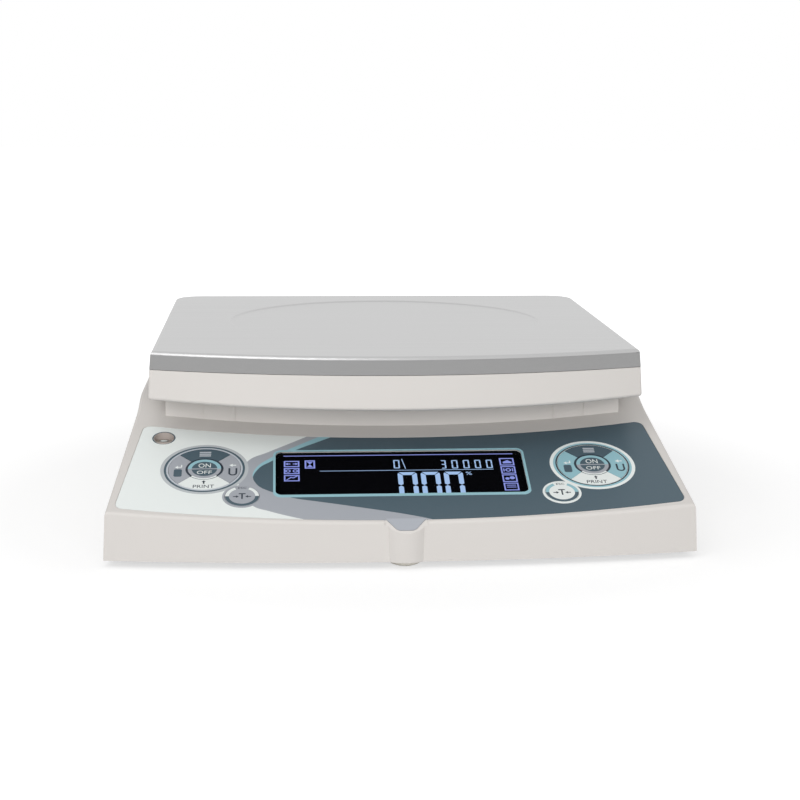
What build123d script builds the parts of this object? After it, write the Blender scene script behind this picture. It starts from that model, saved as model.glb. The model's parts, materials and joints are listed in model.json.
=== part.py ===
from build123d import *
import math
import os

os.makedirs("parts", exist_ok=True)

# Precision bench scale: a low plastic base with a sloping control panel, and a square steel pan
# that rests on a carrier over one load cell. Millimetres, +Z up, the front towards -Y.
# The origin is on the bench, under the middle of the whole scale.

# Base
base_depth = 360.0
front_half_width = 174.5
rear_half_width = 164.3
shoulder_setback = 105.0
shoulder_radius = 200.0
front_bow = 13.0
front_corner_radius = 4.0
rear_corner_radius = 14.0
base_gap = 4.0
wall = 3.0
base_draft = 2.4
front_edge_radius = 2.0

# Nose over the front foot
nose_lead = 3.0
nose_half_width = 10.0
nose_root = 9.0
nose_bite = 0.2

# Control panel and the deck behind it
panel_angle = 21.5
panel_start = 32.2
deck_height = 80.0
hip_radius = 60.0
plinth_half_width = 143.8
plinth_front_setback = 97.0
plinth_bow = 13.0
plinth_rear_margin = 14.0
plinth_top = 86.0
plinth_corner_radius = 6.0
plinth_groove_width = 0.8
plinth_groove_depth = 0.5
plinth_groove_places = (100.0, 120.0)
collar_clearance = 5.0
collar_wall = 3.0
collar_height = 3.0
collar_corner_radius = 4.0

# Steel pan
pan_half_width = 150.0
pan_top = 116.1
pan_rim = 11.0
pan_sheet = 1.0
pan_flare = 0.9
pan_front_setback = 65.5
pan_bow = 27.2
pan_rear_margin = 3.5
pan_front_radius = 16.0
pan_rear_radius = 18.0
pan_edge_radius = 2.5
emboss_radius = 106.1
emboss_depth = 0.6
emboss_slope = 1.2

# Plastic carrier under the pan
carrier_gap = 0.3
carrier_skirt = 18.0
carrier_skirt_flare = 1.2
carrier_skirt_bow = 3.2
carrier_wall = 2.5
carrier_edge_radius = 1.8
carrier_step = 6.7
carrier_pan_clearance = 0.6
buffer_radius = 8.0
buffer_x = 118.0
buffer_y = 98.0
buffer_seat_depth = 1.0
buffer_fit = 0.1
buffer_chamfer = 0.8

# Cast bracket between the load cell and the carrier
bracket_plate = 6.0
bracket_half_width = 30.0
bracket_half_length = 75.0
bracket_arm_width = 20.0
bracket_corner_radius = 10.0
post_x = 100.0
post_y = 84.0
post_radius = 9.0
post_height = 10.0
hub_half_width = 18.0
hub_corner_radius = 4.0
bracket_rib = 4.0
bracket_rib_height = 5.0
carrier_screw_head_radius = 4.0
carrier_screw_head = 2.2
carrier_screw_length = 11.5
carrier_screw_room = 1.0

# Load cell and what holds it
cell_length = 150.0
cell_width = 38.0
cell_height = 30.0
cell_end_bolts = 12.0
cell_bolt_spacing = 20.0
cell_eye_radius = 9.5
cell_eye_spacing = 34.0
lower_spacer_height = 6.0
upper_spacer_height = 8.0
spacer_length = 38.0
spacer_corner_radius = 2.0
cell_bolt_radius = 3.0
cell_bolt_head_radius = 5.0
cell_bolt_head = 6.0
cell_bolt_grip = 16.0
cell_bolt_room = 2.0
cell_bolt_clearance = 0.3
cell_edge_chamfer = 1.0
stop_gap = 0.6
stop_radius = 4.0
stop_nut_radius = 7.2
stop_nut_height = 3.0

# Steel frame that joins the three feet to the load cell
frame_lift = 10.0
frame_plate = 4.0
frame_spine_half_width = 32.0
frame_spine_taper = 50.0
frame_end_radius = 9.0
frame_bar_depth = 30.0
frame_screw_radius = 2.0
frame_screw_head_radius = 3.6
frame_screw_front_setback = 24.0
frame_screw_middle_setback = 40.0
frame_screw_middle_inset = 8.0
frame_screw_rear_inset = 28.0

# Adjustable feet
foot_front_setback = 1.0
foot_rear_x = 134.0
foot_rear_margin = 32.0
foot_wheel_radius = 9.3
foot_wheel_edge = 1.3
foot_wheel_height = 3.0
foot_sole_radius = 6.8
foot_sole_height = 2.2
foot_sole_shows = 0.7
foot_sole_fit = 0.08
foot_stud_radius = 4.0
foot_stud_top = 21.5
foot_stud_chamfer = 0.6
foot_bush_radius = 6.0
foot_bush_top = 20.5
foot_bush_flange = 1.5
foot_bush_flange_radius = 8.0
foot_bush_drop = 6.0
foot_hole_clearance = 1.0
foot_fit = 0.05
foot_flutes = 18
foot_flute_radius = 0.6
foot_room_clearance = 0.5
foot_room_height = 19.0

# Bottom cover
floor_plate = 2.5
cover_clearance = 0.4
cover_rim = 2.0
cover_rim_height = 6.0
boss_radius = 4.5
boss_hole_radius = 1.55
boss_gap = 3.0
housing_screw_radius = 1.5
housing_screw_length = 16.0
housing_screw_head_radius = 3.0
housing_screw_head = 1.8
housing_screw_sink = 0.5
boss_front_inset = 25.5
boss_rear_inset = 15.3
boss_front_setback = 20.0
boss_middle_setback = 160.0
boss_rear_margin = 13.0

# Label film and window
film = 0.5
film_clearance = 0.3
film_low_half_width = 168.1
film_high_half_width = 156.2
film_low = 5.2
film_high = 92.9
film_low_bow = 15.6
film_high_bow = 16.5
film_corner_radius = 5.0
fold_setback = 8.5
tab_angle = 45.0
tab_half_width = 12.0
tab_tip_half_width = 5.0
tab_length = 8.0
tab_tip_radius = 4.5
window_half_width = 75.3
window_low = 16.2
window_high = 62.6
window_corner_radius = 4.0
window_sheet = 0.8
window_ledge = 2.0

# Display
display_depth = 4.0
display_glass_thickness = 2.0
display_backlight_thickness = 4.0
display_margin = 3.5
display_post_x = 60.0
display_post_margin = 4.0
display_post_radius = 2.5
display_board_margin = 3.5
display_backlight_inset = 0.5
display_chip_size = 14.0
display_chip_height = 1.6
display_chip_x = 28.0
gasket_width = 2.5
board = 1.6

# Keys under the film
dial_x = 117.6
dial_u = 44.1
dial_radius = 21.4
dial_hub_radius = 11.05
tare_x = 94.8
tare_u = 15.2
tare_radius = 10.0
key_gap = 0.25
key_rise = 0.15
key_pad = 1.0
key_plunger_radius = 2.6
key_dome_clearance = 0.5
key_dome_height = 0.4
key_dome_radius = 3.6
key_bevel = 0.12
key_hole_margin = 0.5
keypad_margin = 4.0
keypad_screw_angles = (30.0, 110.0, 300.0)

# Level
level_x = -143.5
level_u = 78.5
level_hole_radius = 7.1
level_radius = 6.3
level_bore_clearance = 0.08
level_wall = 1.1
level_height = 8.0
level_sink = 1.5
level_floor = 2.0
level_lens_sink = 0.3
level_holder_wall = 2.0

# Battery and its door
battery_length = 101.0
battery_width = 70.0
battery_height = 47.0
battery_x = 91.0
battery_y = 45.0
battery_clearance = 0.5
battery_well_wall = 2.0
battery_terminal_width = 5.0
battery_terminal_height = 6.0
battery_terminal_thickness = 1.0
battery_terminal_inset = 10.0
battery_well_height = 30.0
battery_edge_radius = 1.5
door_margin = 6.0
door_plate = 2.0
door_plug = 2.0
door_ledge = 2.5
door_clearance = 0.4
door_screw_radius = 1.2
door_screw_head_radius = 2.4
door_screw_head = 1.0
door_screw_sink = 0.2
door_screw_length = 3.1
door_frame_wall = 2.0

# Main board and rear sockets
main_board_width = 90.0
main_board_length = 110.0
main_board_x = -92.0
main_board_y = 10.0
main_board_lift = 8.0
standoff_radius = 4.0
board_screw_inset = 5.0
board_corner_radius = 2.0
chip_size = 20.0
chip_height = 2.0
header_length = 40.0
header_width = 8.0
header_height = 8.0
capacitor_radius = 5.0
capacitor_height = 13.0
capacitor_spacing = 14.0
inlet_x = -110.0
serial_x = -70.0
socket_z = 40.0
socket_recess = 2.5
socket_pad = 3.6
socket_panel_width = 84.0
socket_panel_height = 26.0
socket_clearance = 0.3
inlet_radius = 5.5
inlet_bore_radius = 3.2
inlet_pin_radius = 1.0
inlet_length = 14.0
inlet_flange_radius = 7.5
inlet_flange = 1.8
inlet_wall = 1.0
inlet_nut_radius = 8.0
inlet_nut_height = 2.5
serial_shell_width = 17.0
serial_shell_height = 8.6
serial_shell_sheet = 0.6
serial_shell_slant = 1.6
serial_shell_corner_radius = 1.5
serial_flange_width = 31.0
serial_flange_height = 12.6
serial_reach = 5.9
serial_body_depth = 10.0
serial_flange = 1.0
serial_screw_x = 12.5
jack_screw_radius = 1.4
jack_screw_hex = 4.8
jack_screw_clearance = 0.1
jack_screw_tail = 1.0
serial_pin_radius = 0.5
serial_pin_sink = 1.0
serial_pin_pitch = 2.77
serial_row_pitch = 2.84

# Small fasteners
small_screw_radius = 1.0
small_screw_head_radius = 1.9
small_screw_head = 1.2
small_screw_bite = 1.8
thread_clearance = 0.05
head_clearance = 0.2

# How far a cut reaches past what it cuts
over = 10.0

# Places worked out from the sizes above
nose_y = -base_depth / 2
back_y = base_depth / 2
corner_y = nose_y + nose_lead + front_bow
slope = math.tan(math.radians(panel_angle))
floor_top = base_gap + floor_plate
pan_front_y = corner_y + pan_front_setback
pan_back_y = back_y - pan_rear_margin
pan_centre_y = (pan_front_y + pan_back_y) / 2
rim_bottom = pan_top - pan_rim
ledge_z = rim_bottom - carrier_gap
carrier_deck = ledge_z + carrier_step
skirt_bottom = ledge_z - carrier_skirt
skirt_lowest = skirt_bottom - carrier_skirt_bow
frame_z = base_gap + frame_lift
frame_top = frame_z + frame_plate
cell_z = frame_top + lower_spacer_height
cell_top = cell_z + cell_height
cell_front_y = pan_centre_y - cell_length / 2
cell_back_y = pan_centre_y + cell_length / 2
fixed_y = cell_front_y + cell_end_bolts + cell_bolt_spacing / 2
free_y = cell_back_y - cell_end_bolts - cell_bolt_spacing / 2
bracket_top = carrier_deck - carrier_wall - post_height
bracket_z = bracket_top - bracket_plate
foot_front_y = corner_y - foot_front_setback
foot_rear_y = back_y - foot_rear_margin
foot_places = {
    "front": (0.0, foot_front_y),
    "rear_left": (-foot_rear_x, foot_rear_y),
    "rear_right": (foot_rear_x, foot_rear_y),
}
fold_y = corner_y - fold_setback
fold_z = panel_start - fold_setback * slope
housing_boss_places = [
    (side * x, y)
    for side in (-1, 1)
    for x, y in (
        (front_half_width - boss_front_inset, corner_y + boss_front_setback),
        (rear_half_width - boss_rear_inset, corner_y + boss_middle_setback),
        (rear_half_width - boss_rear_inset, back_y - boss_rear_margin),
    )
]
window_u = (window_low + window_high) / 2
boss_bottom = floor_top + boss_gap
display_board_n = display_depth + display_glass_thickness + display_backlight_thickness
display_post_places = [
    (side * display_post_x, u)
    for side in (-1, 1)
    for u in (
        window_low - display_margin - display_post_margin,
        window_high + display_margin + display_post_margin,
    )
]
keypad_screw_radius = dial_radius + key_hole_margin + keypad_margin / 2
keypad_screw_places = [
    (
        side * (dial_x + keypad_screw_radius * math.cos(math.radians(angle))),
        dial_u + keypad_screw_radius * math.sin(math.radians(angle)),
    )
    for side in (-1, 1)
    for angle in keypad_screw_angles
]
socket_middle_x = (inlet_x + serial_x) / 2
socket_recess_y = back_y - socket_recess
serial_screw_places = [(serial_x + side * serial_screw_x, socket_z) for side in (-1, 1)]
window_height = window_high - window_low
panel_origin = (0, corner_y, panel_start)
panel_normal = (0, -math.sin(math.radians(panel_angle)), math.cos(math.radians(panel_angle)))
tab_normal = (0, -math.sin(math.radians(tab_angle)), math.cos(math.radians(tab_angle)))
panel = Plane(origin=panel_origin, x_dir=(1, 0, 0), z_dir=panel_normal)
tab_plane = Plane(origin=(0, fold_y, fold_z), x_dir=(1, 0, 0), z_dir=tab_normal)


# A plane on the panel, u up its slope and n out of it
def on_panel(x, u, n):
    return Plane(origin=panel.from_local_coords((x, u, n)), x_dir=(1, 0, 0), z_dir=panel_normal)


# The height of the panel's surface over the bench
def panel_height(y):
    return panel_start + (y - corner_y) * slope


def save(piece, name):
    piece.part.label = name
    export_step(piece.part, "parts/" + name + ".step")


# Outline of the base at its bottom edge
def base_plan():
    shoulder_y = corner_y + shoulder_setback
    with BuildSketch() as plan:
        with BuildLine():
            ThreePointArc(
                (-front_half_width, corner_y), (0, corner_y - front_bow), (front_half_width, corner_y)
            )
            Polyline(
                (front_half_width, corner_y),
                (rear_half_width, shoulder_y),
                (rear_half_width, back_y),
                (-rear_half_width, back_y),
                (-rear_half_width, shoulder_y),
                (-front_half_width, corner_y),
            )
        make_face()
        rows = plan.vertices().group_by(Axis.Y)
        fillet(rows[-1], rear_corner_radius)
        fillet(rows[0], front_corner_radius)
        shoulders = plan.vertices().filter_by(lambda v: round(v.Y - shoulder_y, 2) == 0)
        fillet(shoulders, shoulder_radius)
    return plan.sketch


# The base's closed form, or the room inside it where it is inset by the wall
def base_form(inset):
    top = deck_height - inset
    reach = back_y + over
    drop = inset / math.cos(math.radians(panel_angle))
    hip_y = corner_y + (top - panel_start + drop) / slope
    with BuildPart() as form:
        with BuildSketch(Plane.XY.offset(base_gap)):
            add(base_plan())
            if inset:
                offset(amount=-inset)
        extrude(amount=deck_height, taper=base_draft)
        with BuildSketch(Plane.YZ) as side:
            with BuildLine():
                Polyline(
                    (-reach, base_gap),
                    (-reach, panel_height(-reach) - drop),
                    (hip_y, top),
                    (reach, top),
                    (reach, base_gap),
                    close=True,
                )
            make_face()
            hip = side.vertices().group_by(Axis.Y)[-1].sort_by(Axis.X)[0]
            fillet(hip, hip_radius - inset)
        extrude(amount=front_half_width + over, both=True, mode=Mode.INTERSECT)
    return form.part


# Outline of the plinth, the raised deck under the pan
def plinth_plan(inset):
    front_y = corner_y + plinth_front_setback
    rear_y = back_y - plinth_rear_margin
    with BuildSketch() as plan:
        with BuildLine():
            ThreePointArc(
                (-plinth_half_width, front_y), (0, front_y - plinth_bow), (plinth_half_width, front_y)
            )
            Polyline(
                (plinth_half_width, front_y),
                (plinth_half_width, rear_y),
                (-plinth_half_width, rear_y),
                (-plinth_half_width, front_y),
            )
        make_face()
        fillet(plan.vertices().group_by(Axis.Y)[-1], plinth_corner_radius)
        if inset:
            offset(amount=-inset)
    return plan.sketch


# Outline of the pan, grown by a margin
def pan_plan(margin):
    with BuildSketch() as plan:
        with BuildLine():
            ThreePointArc(
                (-pan_half_width, pan_front_y), (0, pan_front_y - pan_bow), (pan_half_width, pan_front_y)
            )
            Polyline(
                (pan_half_width, pan_front_y),
                (pan_half_width, pan_back_y),
                (-pan_half_width, pan_back_y),
                (-pan_half_width, pan_front_y),
            )
        make_face()
        rows = plan.vertices().group_by(Axis.Y)
        fillet(rows[-1], pan_rear_radius)
        fillet(rows[0], pan_front_radius)
        if margin:
            offset(amount=margin)
    return plan.sketch


# Outline of the label film on the panel, grown by a margin
def film_plan(margin):
    fold_u = -fold_setback / math.cos(math.radians(panel_angle))
    with BuildSketch() as plan:
        with BuildLine():
            ThreePointArc(
                (-film_low_half_width, film_low),
                (0, film_low - film_low_bow),
                (film_low_half_width, film_low),
            )
            Line((film_low_half_width, film_low), (film_high_half_width, film_high))
            ThreePointArc(
                (film_high_half_width, film_high),
                (0, film_high - film_high_bow),
                (-film_high_half_width, film_high),
            )
            Line((-film_high_half_width, film_high), (-film_low_half_width, film_low))
        make_face()
        fillet(plan.vertices(), film_corner_radius)
        if margin:
            offset(amount=margin)
        with Locations((0, fold_u)):
            Rectangle(
                2 * tab_half_width - 2 * margin, film_low_bow, align=(Align.CENTER, Align.MAX),
                mode=Mode.SUBTRACT,
            )
    return plan.sketch


# Outline of the film's tab on the nose, grown by a margin
def tab_plan(margin):
    with BuildSketch() as plan:
        with BuildLine():
            Polyline(
                (-tab_half_width - margin, 0),
                (-tab_tip_half_width - margin, -tab_length - margin),
                (tab_tip_half_width + margin, -tab_length - margin),
                (tab_half_width + margin, 0),
                close=True,
            )
        make_face()
        fillet(plan.vertices().group_by(Axis.Y)[0], tab_tip_radius)
    return plan.sketch


def rounded_window(margin):
    with BuildSketch() as plan:
        with Locations((0, window_u)):
            RectangleRounded(
                2 * (window_half_width + margin), window_height + 2 * margin,
                window_corner_radius + margin,
            )
    return plan.sketch


# Top housing: front wall, panel, deck and plinth in one moulding
level_origin = panel.from_local_coords((level_x, level_u, 0))
level_top = level_origin.Z - level_sink
level_bottom = level_top - level_height
nose_wall_y = corner_y - front_bow
plinth_front_y = corner_y + plinth_front_setback
plinth_foot = panel_height(plinth_front_y - plinth_bow)
plinth_groove_foot = panel_height(plinth_front_y - plinth_bow / 2)
collar_inner = 2 * (hub_half_width + collar_clearance)
collar_outer = collar_inner + 2 * collar_wall
with BuildSketch() as groove_strips:
    with Locations(*[(side * x, plinth_front_y) for side in (-1, 1) for x in plinth_groove_places]):
        Rectangle(plinth_groove_width, 2 * plinth_bow)
with BuildSketch() as plinth_grooves:
    add(plinth_plan(0))
    add(plinth_plan(plinth_groove_depth), mode=Mode.SUBTRACT)
    add(groove_strips.sketch, mode=Mode.INTERSECT)
with BuildPart() as top_housing:
    add(base_form(0))
    upper = top_housing.edges().filter_by(lambda e: e.center().Z > base_gap + wall)
    rim = upper.filter_by(lambda e: abs(e.tangent_at(0.5).Z) < math.cos(math.radians(panel_angle)) - 0.1)
    crease = rim.filter_by(GeomType.LINE).filter_by(Axis.X).filter_by(lambda e: e.center().Y < pan_centre_y)
    fillet([edge for edge in rim if edge not in crease], front_edge_radius)
    with BuildSketch(Plane.XY.offset(base_gap)):
        with BuildLine():
            ThreePointArc(
                (-nose_half_width, nose_wall_y + nose_bite),
                (0, nose_y),
                (nose_half_width, nose_wall_y + nose_bite),
            )
            Polyline(
                (nose_half_width, nose_wall_y + nose_bite),
                (nose_half_width, nose_wall_y + nose_root),
                (-nose_half_width, nose_wall_y + nose_root),
                (-nose_half_width, nose_wall_y + nose_bite),
            )
        make_face()
    extrude(amount=fold_z - base_gap)
    with BuildSketch(Plane.YZ):
        with BuildLine():
            Polyline(
                (fold_y, fold_z),
                (nose_y - over, fold_z - (fold_y - nose_y + over) * math.tan(math.radians(tab_angle))),
                (nose_y - over, fold_z + over),
                (fold_y, fold_z + over),
                close=True,
            )
        make_face()
    extrude(amount=tab_half_width + 2 * film_clearance, both=True, mode=Mode.SUBTRACT)
    with BuildSketch(Plane.XY.offset(plinth_top)):
        add(plinth_plan(0))
    extrude(amount=-(plinth_top - plinth_foot + wall))
    add(base_form(wall), mode=Mode.SUBTRACT)
    with BuildSketch(Plane.XY.offset(plinth_top - wall)):
        add(plinth_plan(wall))
    extrude(amount=-(plinth_top - plinth_foot + wall), mode=Mode.SUBTRACT)
    # thin upright grooves in the front of the plinth
    with BuildSketch(Plane.XY.offset(plinth_top)):
        add(plinth_grooves.sketch)
    extrude(amount=-(plinth_top - plinth_groove_foot), mode=Mode.SUBTRACT)
    # room for the front foot's stud and bush behind the nose
    with BuildSketch(Plane.XY.offset(base_gap)):
        with Locations((0, foot_front_y)):
            Circle(frame_end_radius + foot_room_clearance)
    extrude(amount=foot_room_height, mode=Mode.SUBTRACT)
    # upright holder for the level
    with BuildSketch(Plane.XY.offset(level_bottom - level_floor)):
        with Locations((level_x, level_origin.Y)):
            Circle(level_radius + level_holder_wall)
    extrude(amount=level_floor + level_height + level_sink)
    # screw bosses down to the bottom cover
    for x, y in housing_boss_places:
        roof = min(panel_height(y), deck_height) - wall / 2
        with BuildSketch(Plane.XY.offset(boss_bottom)):
            with Locations((x, y)):
                Circle(boss_radius)
        extrude(amount=roof - boss_bottom)
        with BuildSketch(Plane.XY.offset(boss_bottom)):
            with Locations((x, y)):
                Circle(boss_hole_radius)
        extrude(amount=housing_screw_length, mode=Mode.SUBTRACT)
    # recess for the label film
    with BuildSketch(panel.offset(over)):
        add(film_plan(film_clearance))
    extrude(amount=-over - film, mode=Mode.SUBTRACT)
    with BuildSketch(tab_plane):
        add(tab_plan(film_clearance))
    extrude(amount=-film, mode=Mode.SUBTRACT)
    # rebate and opening for the display window
    with BuildSketch(panel.offset(-film)):
        add(rounded_window(window_ledge + film_clearance))
    extrude(amount=-window_sheet, mode=Mode.SUBTRACT)
    with BuildSketch(panel):
        add(rounded_window(0))
        with Locations((-dial_x, dial_u), (dial_x, dial_u)):
            Circle(dial_radius + key_hole_margin)
        with Locations((-tare_x, tare_u), (tare_x, tare_u)):
            Circle(tare_radius + key_hole_margin)
    extrude(amount=-2 * wall, mode=Mode.SUBTRACT)
    # bore for the level
    with BuildSketch(Plane.XY.offset(level_bottom)):
        with Locations((level_x, level_origin.Y)):
            Circle(level_radius + level_bore_clearance)
    extrude(amount=2 * level_height, mode=Mode.SUBTRACT)
    # opening in the deck for the bracket's hub, with a raised collar
    with BuildSketch(Plane.XY.offset(plinth_top)):
        with Locations((0, free_y)):
            RectangleRounded(collar_outer, collar_outer, collar_corner_radius + collar_wall)
    extrude(amount=collar_height)
    with BuildSketch(Plane.XY.offset(plinth_top + collar_height)):
        with Locations((0, free_y)):
            RectangleRounded(collar_inner, collar_inner, collar_corner_radius)
    extrude(amount=-collar_height - 2 * wall, mode=Mode.SUBTRACT)
    # posts for the display board, and blind holes for the small screws
    with BuildSketch(panel.offset(-wall)):
        with Locations(*display_post_places):
            Circle(display_post_radius)
    extrude(amount=-(display_board_n - wall))
    with BuildSketch(panel.offset(-display_board_n)):
        with Locations(*display_post_places):
            Circle(small_screw_radius + thread_clearance)
    extrude(amount=2 * small_screw_bite, mode=Mode.SUBTRACT)
    with BuildSketch(panel.offset(-wall)):
        with Locations(*keypad_screw_places):
            Circle(small_screw_radius + thread_clearance)
    extrude(amount=small_screw_bite, mode=Mode.SUBTRACT)
    # flat socket panel in the back wall, with a pad behind it
    with BuildSketch(Plane.XZ.offset(-socket_recess_y)):
        with Locations((socket_middle_x, socket_z)):
            Rectangle(socket_panel_width, socket_panel_height)
    extrude(amount=-over, mode=Mode.SUBTRACT)
    with BuildSketch(Plane.XZ.offset(-socket_recess_y)):
        with Locations((socket_middle_x, socket_z)):
            Rectangle(socket_panel_width + 2 * wall, socket_panel_height + 2 * wall)
    extrude(amount=socket_pad)
    with BuildSketch(Plane.XZ.offset(-socket_recess_y)):
        with Locations((inlet_x, socket_z)):
            Circle(inlet_radius + thread_clearance)
        with Locations((serial_x, socket_z)):
            Rectangle(serial_shell_width + 2 * socket_clearance, serial_shell_height + 2 * socket_clearance)
        with Locations(*serial_screw_places):
            Circle(jack_screw_radius + jack_screw_clearance)
    extrude(amount=2 * socket_pad, mode=Mode.SUBTRACT)
save(top_housing, "top_housing")


# Bottom cover: a tray inside the housing's skirt, with bosses, standoffs and the battery well
door_length = battery_length + 2 * battery_clearance + 2 * door_margin
door_width = battery_width + 2 * battery_clearance + 2 * door_margin
frame_screw_places = [
    (0, foot_front_y + frame_screw_front_setback),
    (-frame_spine_half_width + frame_screw_middle_inset, fixed_y - frame_screw_middle_setback),
    (frame_spine_half_width - frame_screw_middle_inset, fixed_y - frame_screw_middle_setback),
    (-foot_rear_x + frame_screw_rear_inset, foot_rear_y),
    (foot_rear_x - frame_screw_rear_inset, foot_rear_y),
]
board_screw_places = [
    (
        main_board_x + side * (main_board_width / 2 - board_screw_inset),
        main_board_y + end * (main_board_length / 2 - board_screw_inset),
    )
    for side in (-1, 1)
    for end in (-1, 1)
]
screw_seat = base_gap + housing_screw_sink + housing_screw_head
door_screw_places = [
    (battery_x + side * (door_length - door_margin) / 2, battery_y) for side in (-1, 1)
]
with BuildPart() as bottom_cover:
    with BuildSketch(Plane.XY.offset(base_gap)):
        add(base_plan())
        offset(amount=-wall - cover_clearance)
    extrude(amount=floor_plate + cover_rim_height, taper=base_draft)
    with BuildSketch(Plane.XY.offset(floor_top)):
        add(base_plan())
        offset(amount=-wall - cover_clearance - cover_rim)
    extrude(amount=2 * cover_rim_height, taper=base_draft, mode=Mode.SUBTRACT)
    with BuildSketch(Plane.XY.offset(floor_top)):
        with Locations(*housing_boss_places):
            Circle(boss_radius)
    extrude(amount=boss_gap)
    with BuildSketch(Plane.XY.offset(floor_top)):
        with Locations(*frame_screw_places):
            Circle(standoff_radius + frame_screw_radius)
    extrude(amount=frame_z - floor_top)
    with BuildSketch(Plane.XY.offset(floor_top)):
        with Locations(*board_screw_places):
            Circle(standoff_radius)
    extrude(amount=main_board_lift)
    # battery well with a thick ledge around the door
    with BuildSketch(Plane.XY.offset(base_gap)):
        with Locations((battery_x, battery_y)):
            Rectangle(door_length + 2 * door_frame_wall, door_width + 2 * door_frame_wall)
    extrude(amount=door_plate + door_ledge)
    with BuildSketch(Plane.XY.offset(base_gap + door_plate + door_ledge)):
        with Locations((battery_x, battery_y)):
            Rectangle(
                battery_length + 2 * battery_clearance + 2 * battery_well_wall,
                battery_width + 2 * battery_clearance + 2 * battery_well_wall,
            )
    extrude(amount=battery_well_height)
    with BuildSketch(Plane.XY.offset(base_gap)):
        with Locations((battery_x, battery_y)):
            Rectangle(battery_length + 2 * battery_clearance, battery_width + 2 * battery_clearance)
    extrude(amount=2 * battery_well_height, mode=Mode.SUBTRACT)
    with BuildSketch(Plane.XY.offset(base_gap)):
        with Locations((battery_x, battery_y)):
            Rectangle(door_length, door_width)
    extrude(amount=door_plate, mode=Mode.SUBTRACT)
    # holes for the feet and for every screw
    with BuildSketch(Plane.XY.offset(base_gap)):
        with Locations(*foot_places.values()):
            Circle(foot_stud_radius + foot_hole_clearance)
        with Locations(*frame_screw_places):
            Circle(frame_screw_radius + thread_clearance)
        with Locations(*housing_boss_places):
            Circle(boss_hole_radius)
        with Locations(*door_screw_places):
            Circle(door_screw_radius + thread_clearance)
    extrude(amount=frame_lift, mode=Mode.SUBTRACT)
    with BuildSketch(Plane.XY.offset(base_gap)):
        with Locations(*frame_screw_places):
            Circle(frame_screw_head_radius + head_clearance)
        with Locations(*housing_boss_places):
            Circle(housing_screw_head_radius + head_clearance)
    extrude(amount=screw_seat - base_gap, mode=Mode.SUBTRACT)
    with BuildSketch(Plane.XY.offset(floor_top + main_board_lift)):
        with Locations(*board_screw_places):
            Circle(small_screw_radius + thread_clearance)
    extrude(amount=-2 * small_screw_bite, mode=Mode.SUBTRACT)
save(bottom_cover, "bottom_cover")


# Steel pan: a pressed sheet with a folded rim and a shallow round emboss
flare_angle = math.degrees(math.atan(pan_flare / pan_rim))
emboss_angle = math.degrees(math.atan(emboss_slope / emboss_depth))


# The closed form of the pan under a top at this height, or the room inside the sheet
def pan_form(top, inset):
    with BuildPart() as form:
        with BuildSketch(Plane.XY.offset(top)):
            add(pan_plan(-inset))
        extrude(amount=rim_bottom - top, taper=-flare_angle)
        fillet(form.faces().sort_by(Axis.Z)[-1].edges(), pan_edge_radius - inset)
        with BuildSketch(Plane.XY.offset(top)):
            with Locations((0, pan_centre_y)):
                Circle(emboss_radius)
        extrude(amount=-emboss_depth, taper=emboss_angle, mode=Mode.SUBTRACT)
    return form.part


with BuildPart() as weighing_pan:
    add(pan_form(pan_top, 0))
    add(pan_form(pan_top - pan_sheet, pan_sheet), mode=Mode.SUBTRACT)
save(weighing_pan, "weighing_pan")


# Carrier: a plastic tray with a deep skirt, whose lower edge bows down in the middle
skirt_angle = math.degrees(math.atan(carrier_skirt_flare / carrier_skirt))
skirt_height = ledge_z - skirt_lowest
deck_inset = pan_sheet + carrier_pan_clearance
buffer_places = [
    (side * buffer_x, pan_centre_y + end * buffer_y) for side in (-1, 1) for end in (-1, 1)
]
post_places = [(side * post_x, pan_centre_y + end * post_y) for side in (-1, 1) for end in (-1, 1)]
with BuildPart() as platform_carrier:
    with BuildSketch(Plane.XY.offset(ledge_z)):
        add(pan_plan(pan_flare))
    extrude(amount=-skirt_height, taper=-skirt_angle)
    with BuildSketch(Plane.XZ):
        with BuildLine():
            ThreePointArc(
                (-pan_half_width - over, skirt_bottom),
                (0, skirt_lowest),
                (pan_half_width + over, skirt_bottom),
            )
            Polyline(
                (pan_half_width + over, skirt_bottom),
                (pan_half_width + over, pan_top),
                (-pan_half_width - over, pan_top),
                (-pan_half_width - over, skirt_bottom),
            )
        make_face()
    extrude(amount=base_depth, both=True, mode=Mode.INTERSECT)
    fillet(platform_carrier.faces().sort_by(Axis.Z)[0].edges(), carrier_edge_radius)
    with BuildSketch(Plane.XY.offset(ledge_z)):
        add(pan_plan(-deck_inset))
    extrude(amount=carrier_step)
    fillet(platform_carrier.faces().sort_by(Axis.Z)[-1].edges(), carrier_edge_radius)
    with BuildSketch(Plane.XY.offset(ledge_z - carrier_wall)):
        add(pan_plan(pan_flare - carrier_wall))
    extrude(amount=-skirt_height, taper=-skirt_angle, mode=Mode.SUBTRACT)
    with BuildSketch(Plane.XY.offset(skirt_lowest)):
        add(pan_plan(-deck_inset - carrier_wall))
    extrude(amount=carrier_deck - carrier_wall - skirt_lowest, mode=Mode.SUBTRACT)
    with BuildSketch(Plane.XY.offset(carrier_deck)):
        with Locations(*buffer_places):
            Circle(buffer_radius + buffer_fit)
    extrude(amount=-buffer_seat_depth, mode=Mode.SUBTRACT)
    with BuildSketch(Plane.XY.offset(carrier_deck)):
        with Locations(*post_places):
            Circle(frame_screw_radius + thread_clearance)
    extrude(amount=-2 * carrier_wall, mode=Mode.SUBTRACT)
save(platform_carrier, "platform_carrier")

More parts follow.
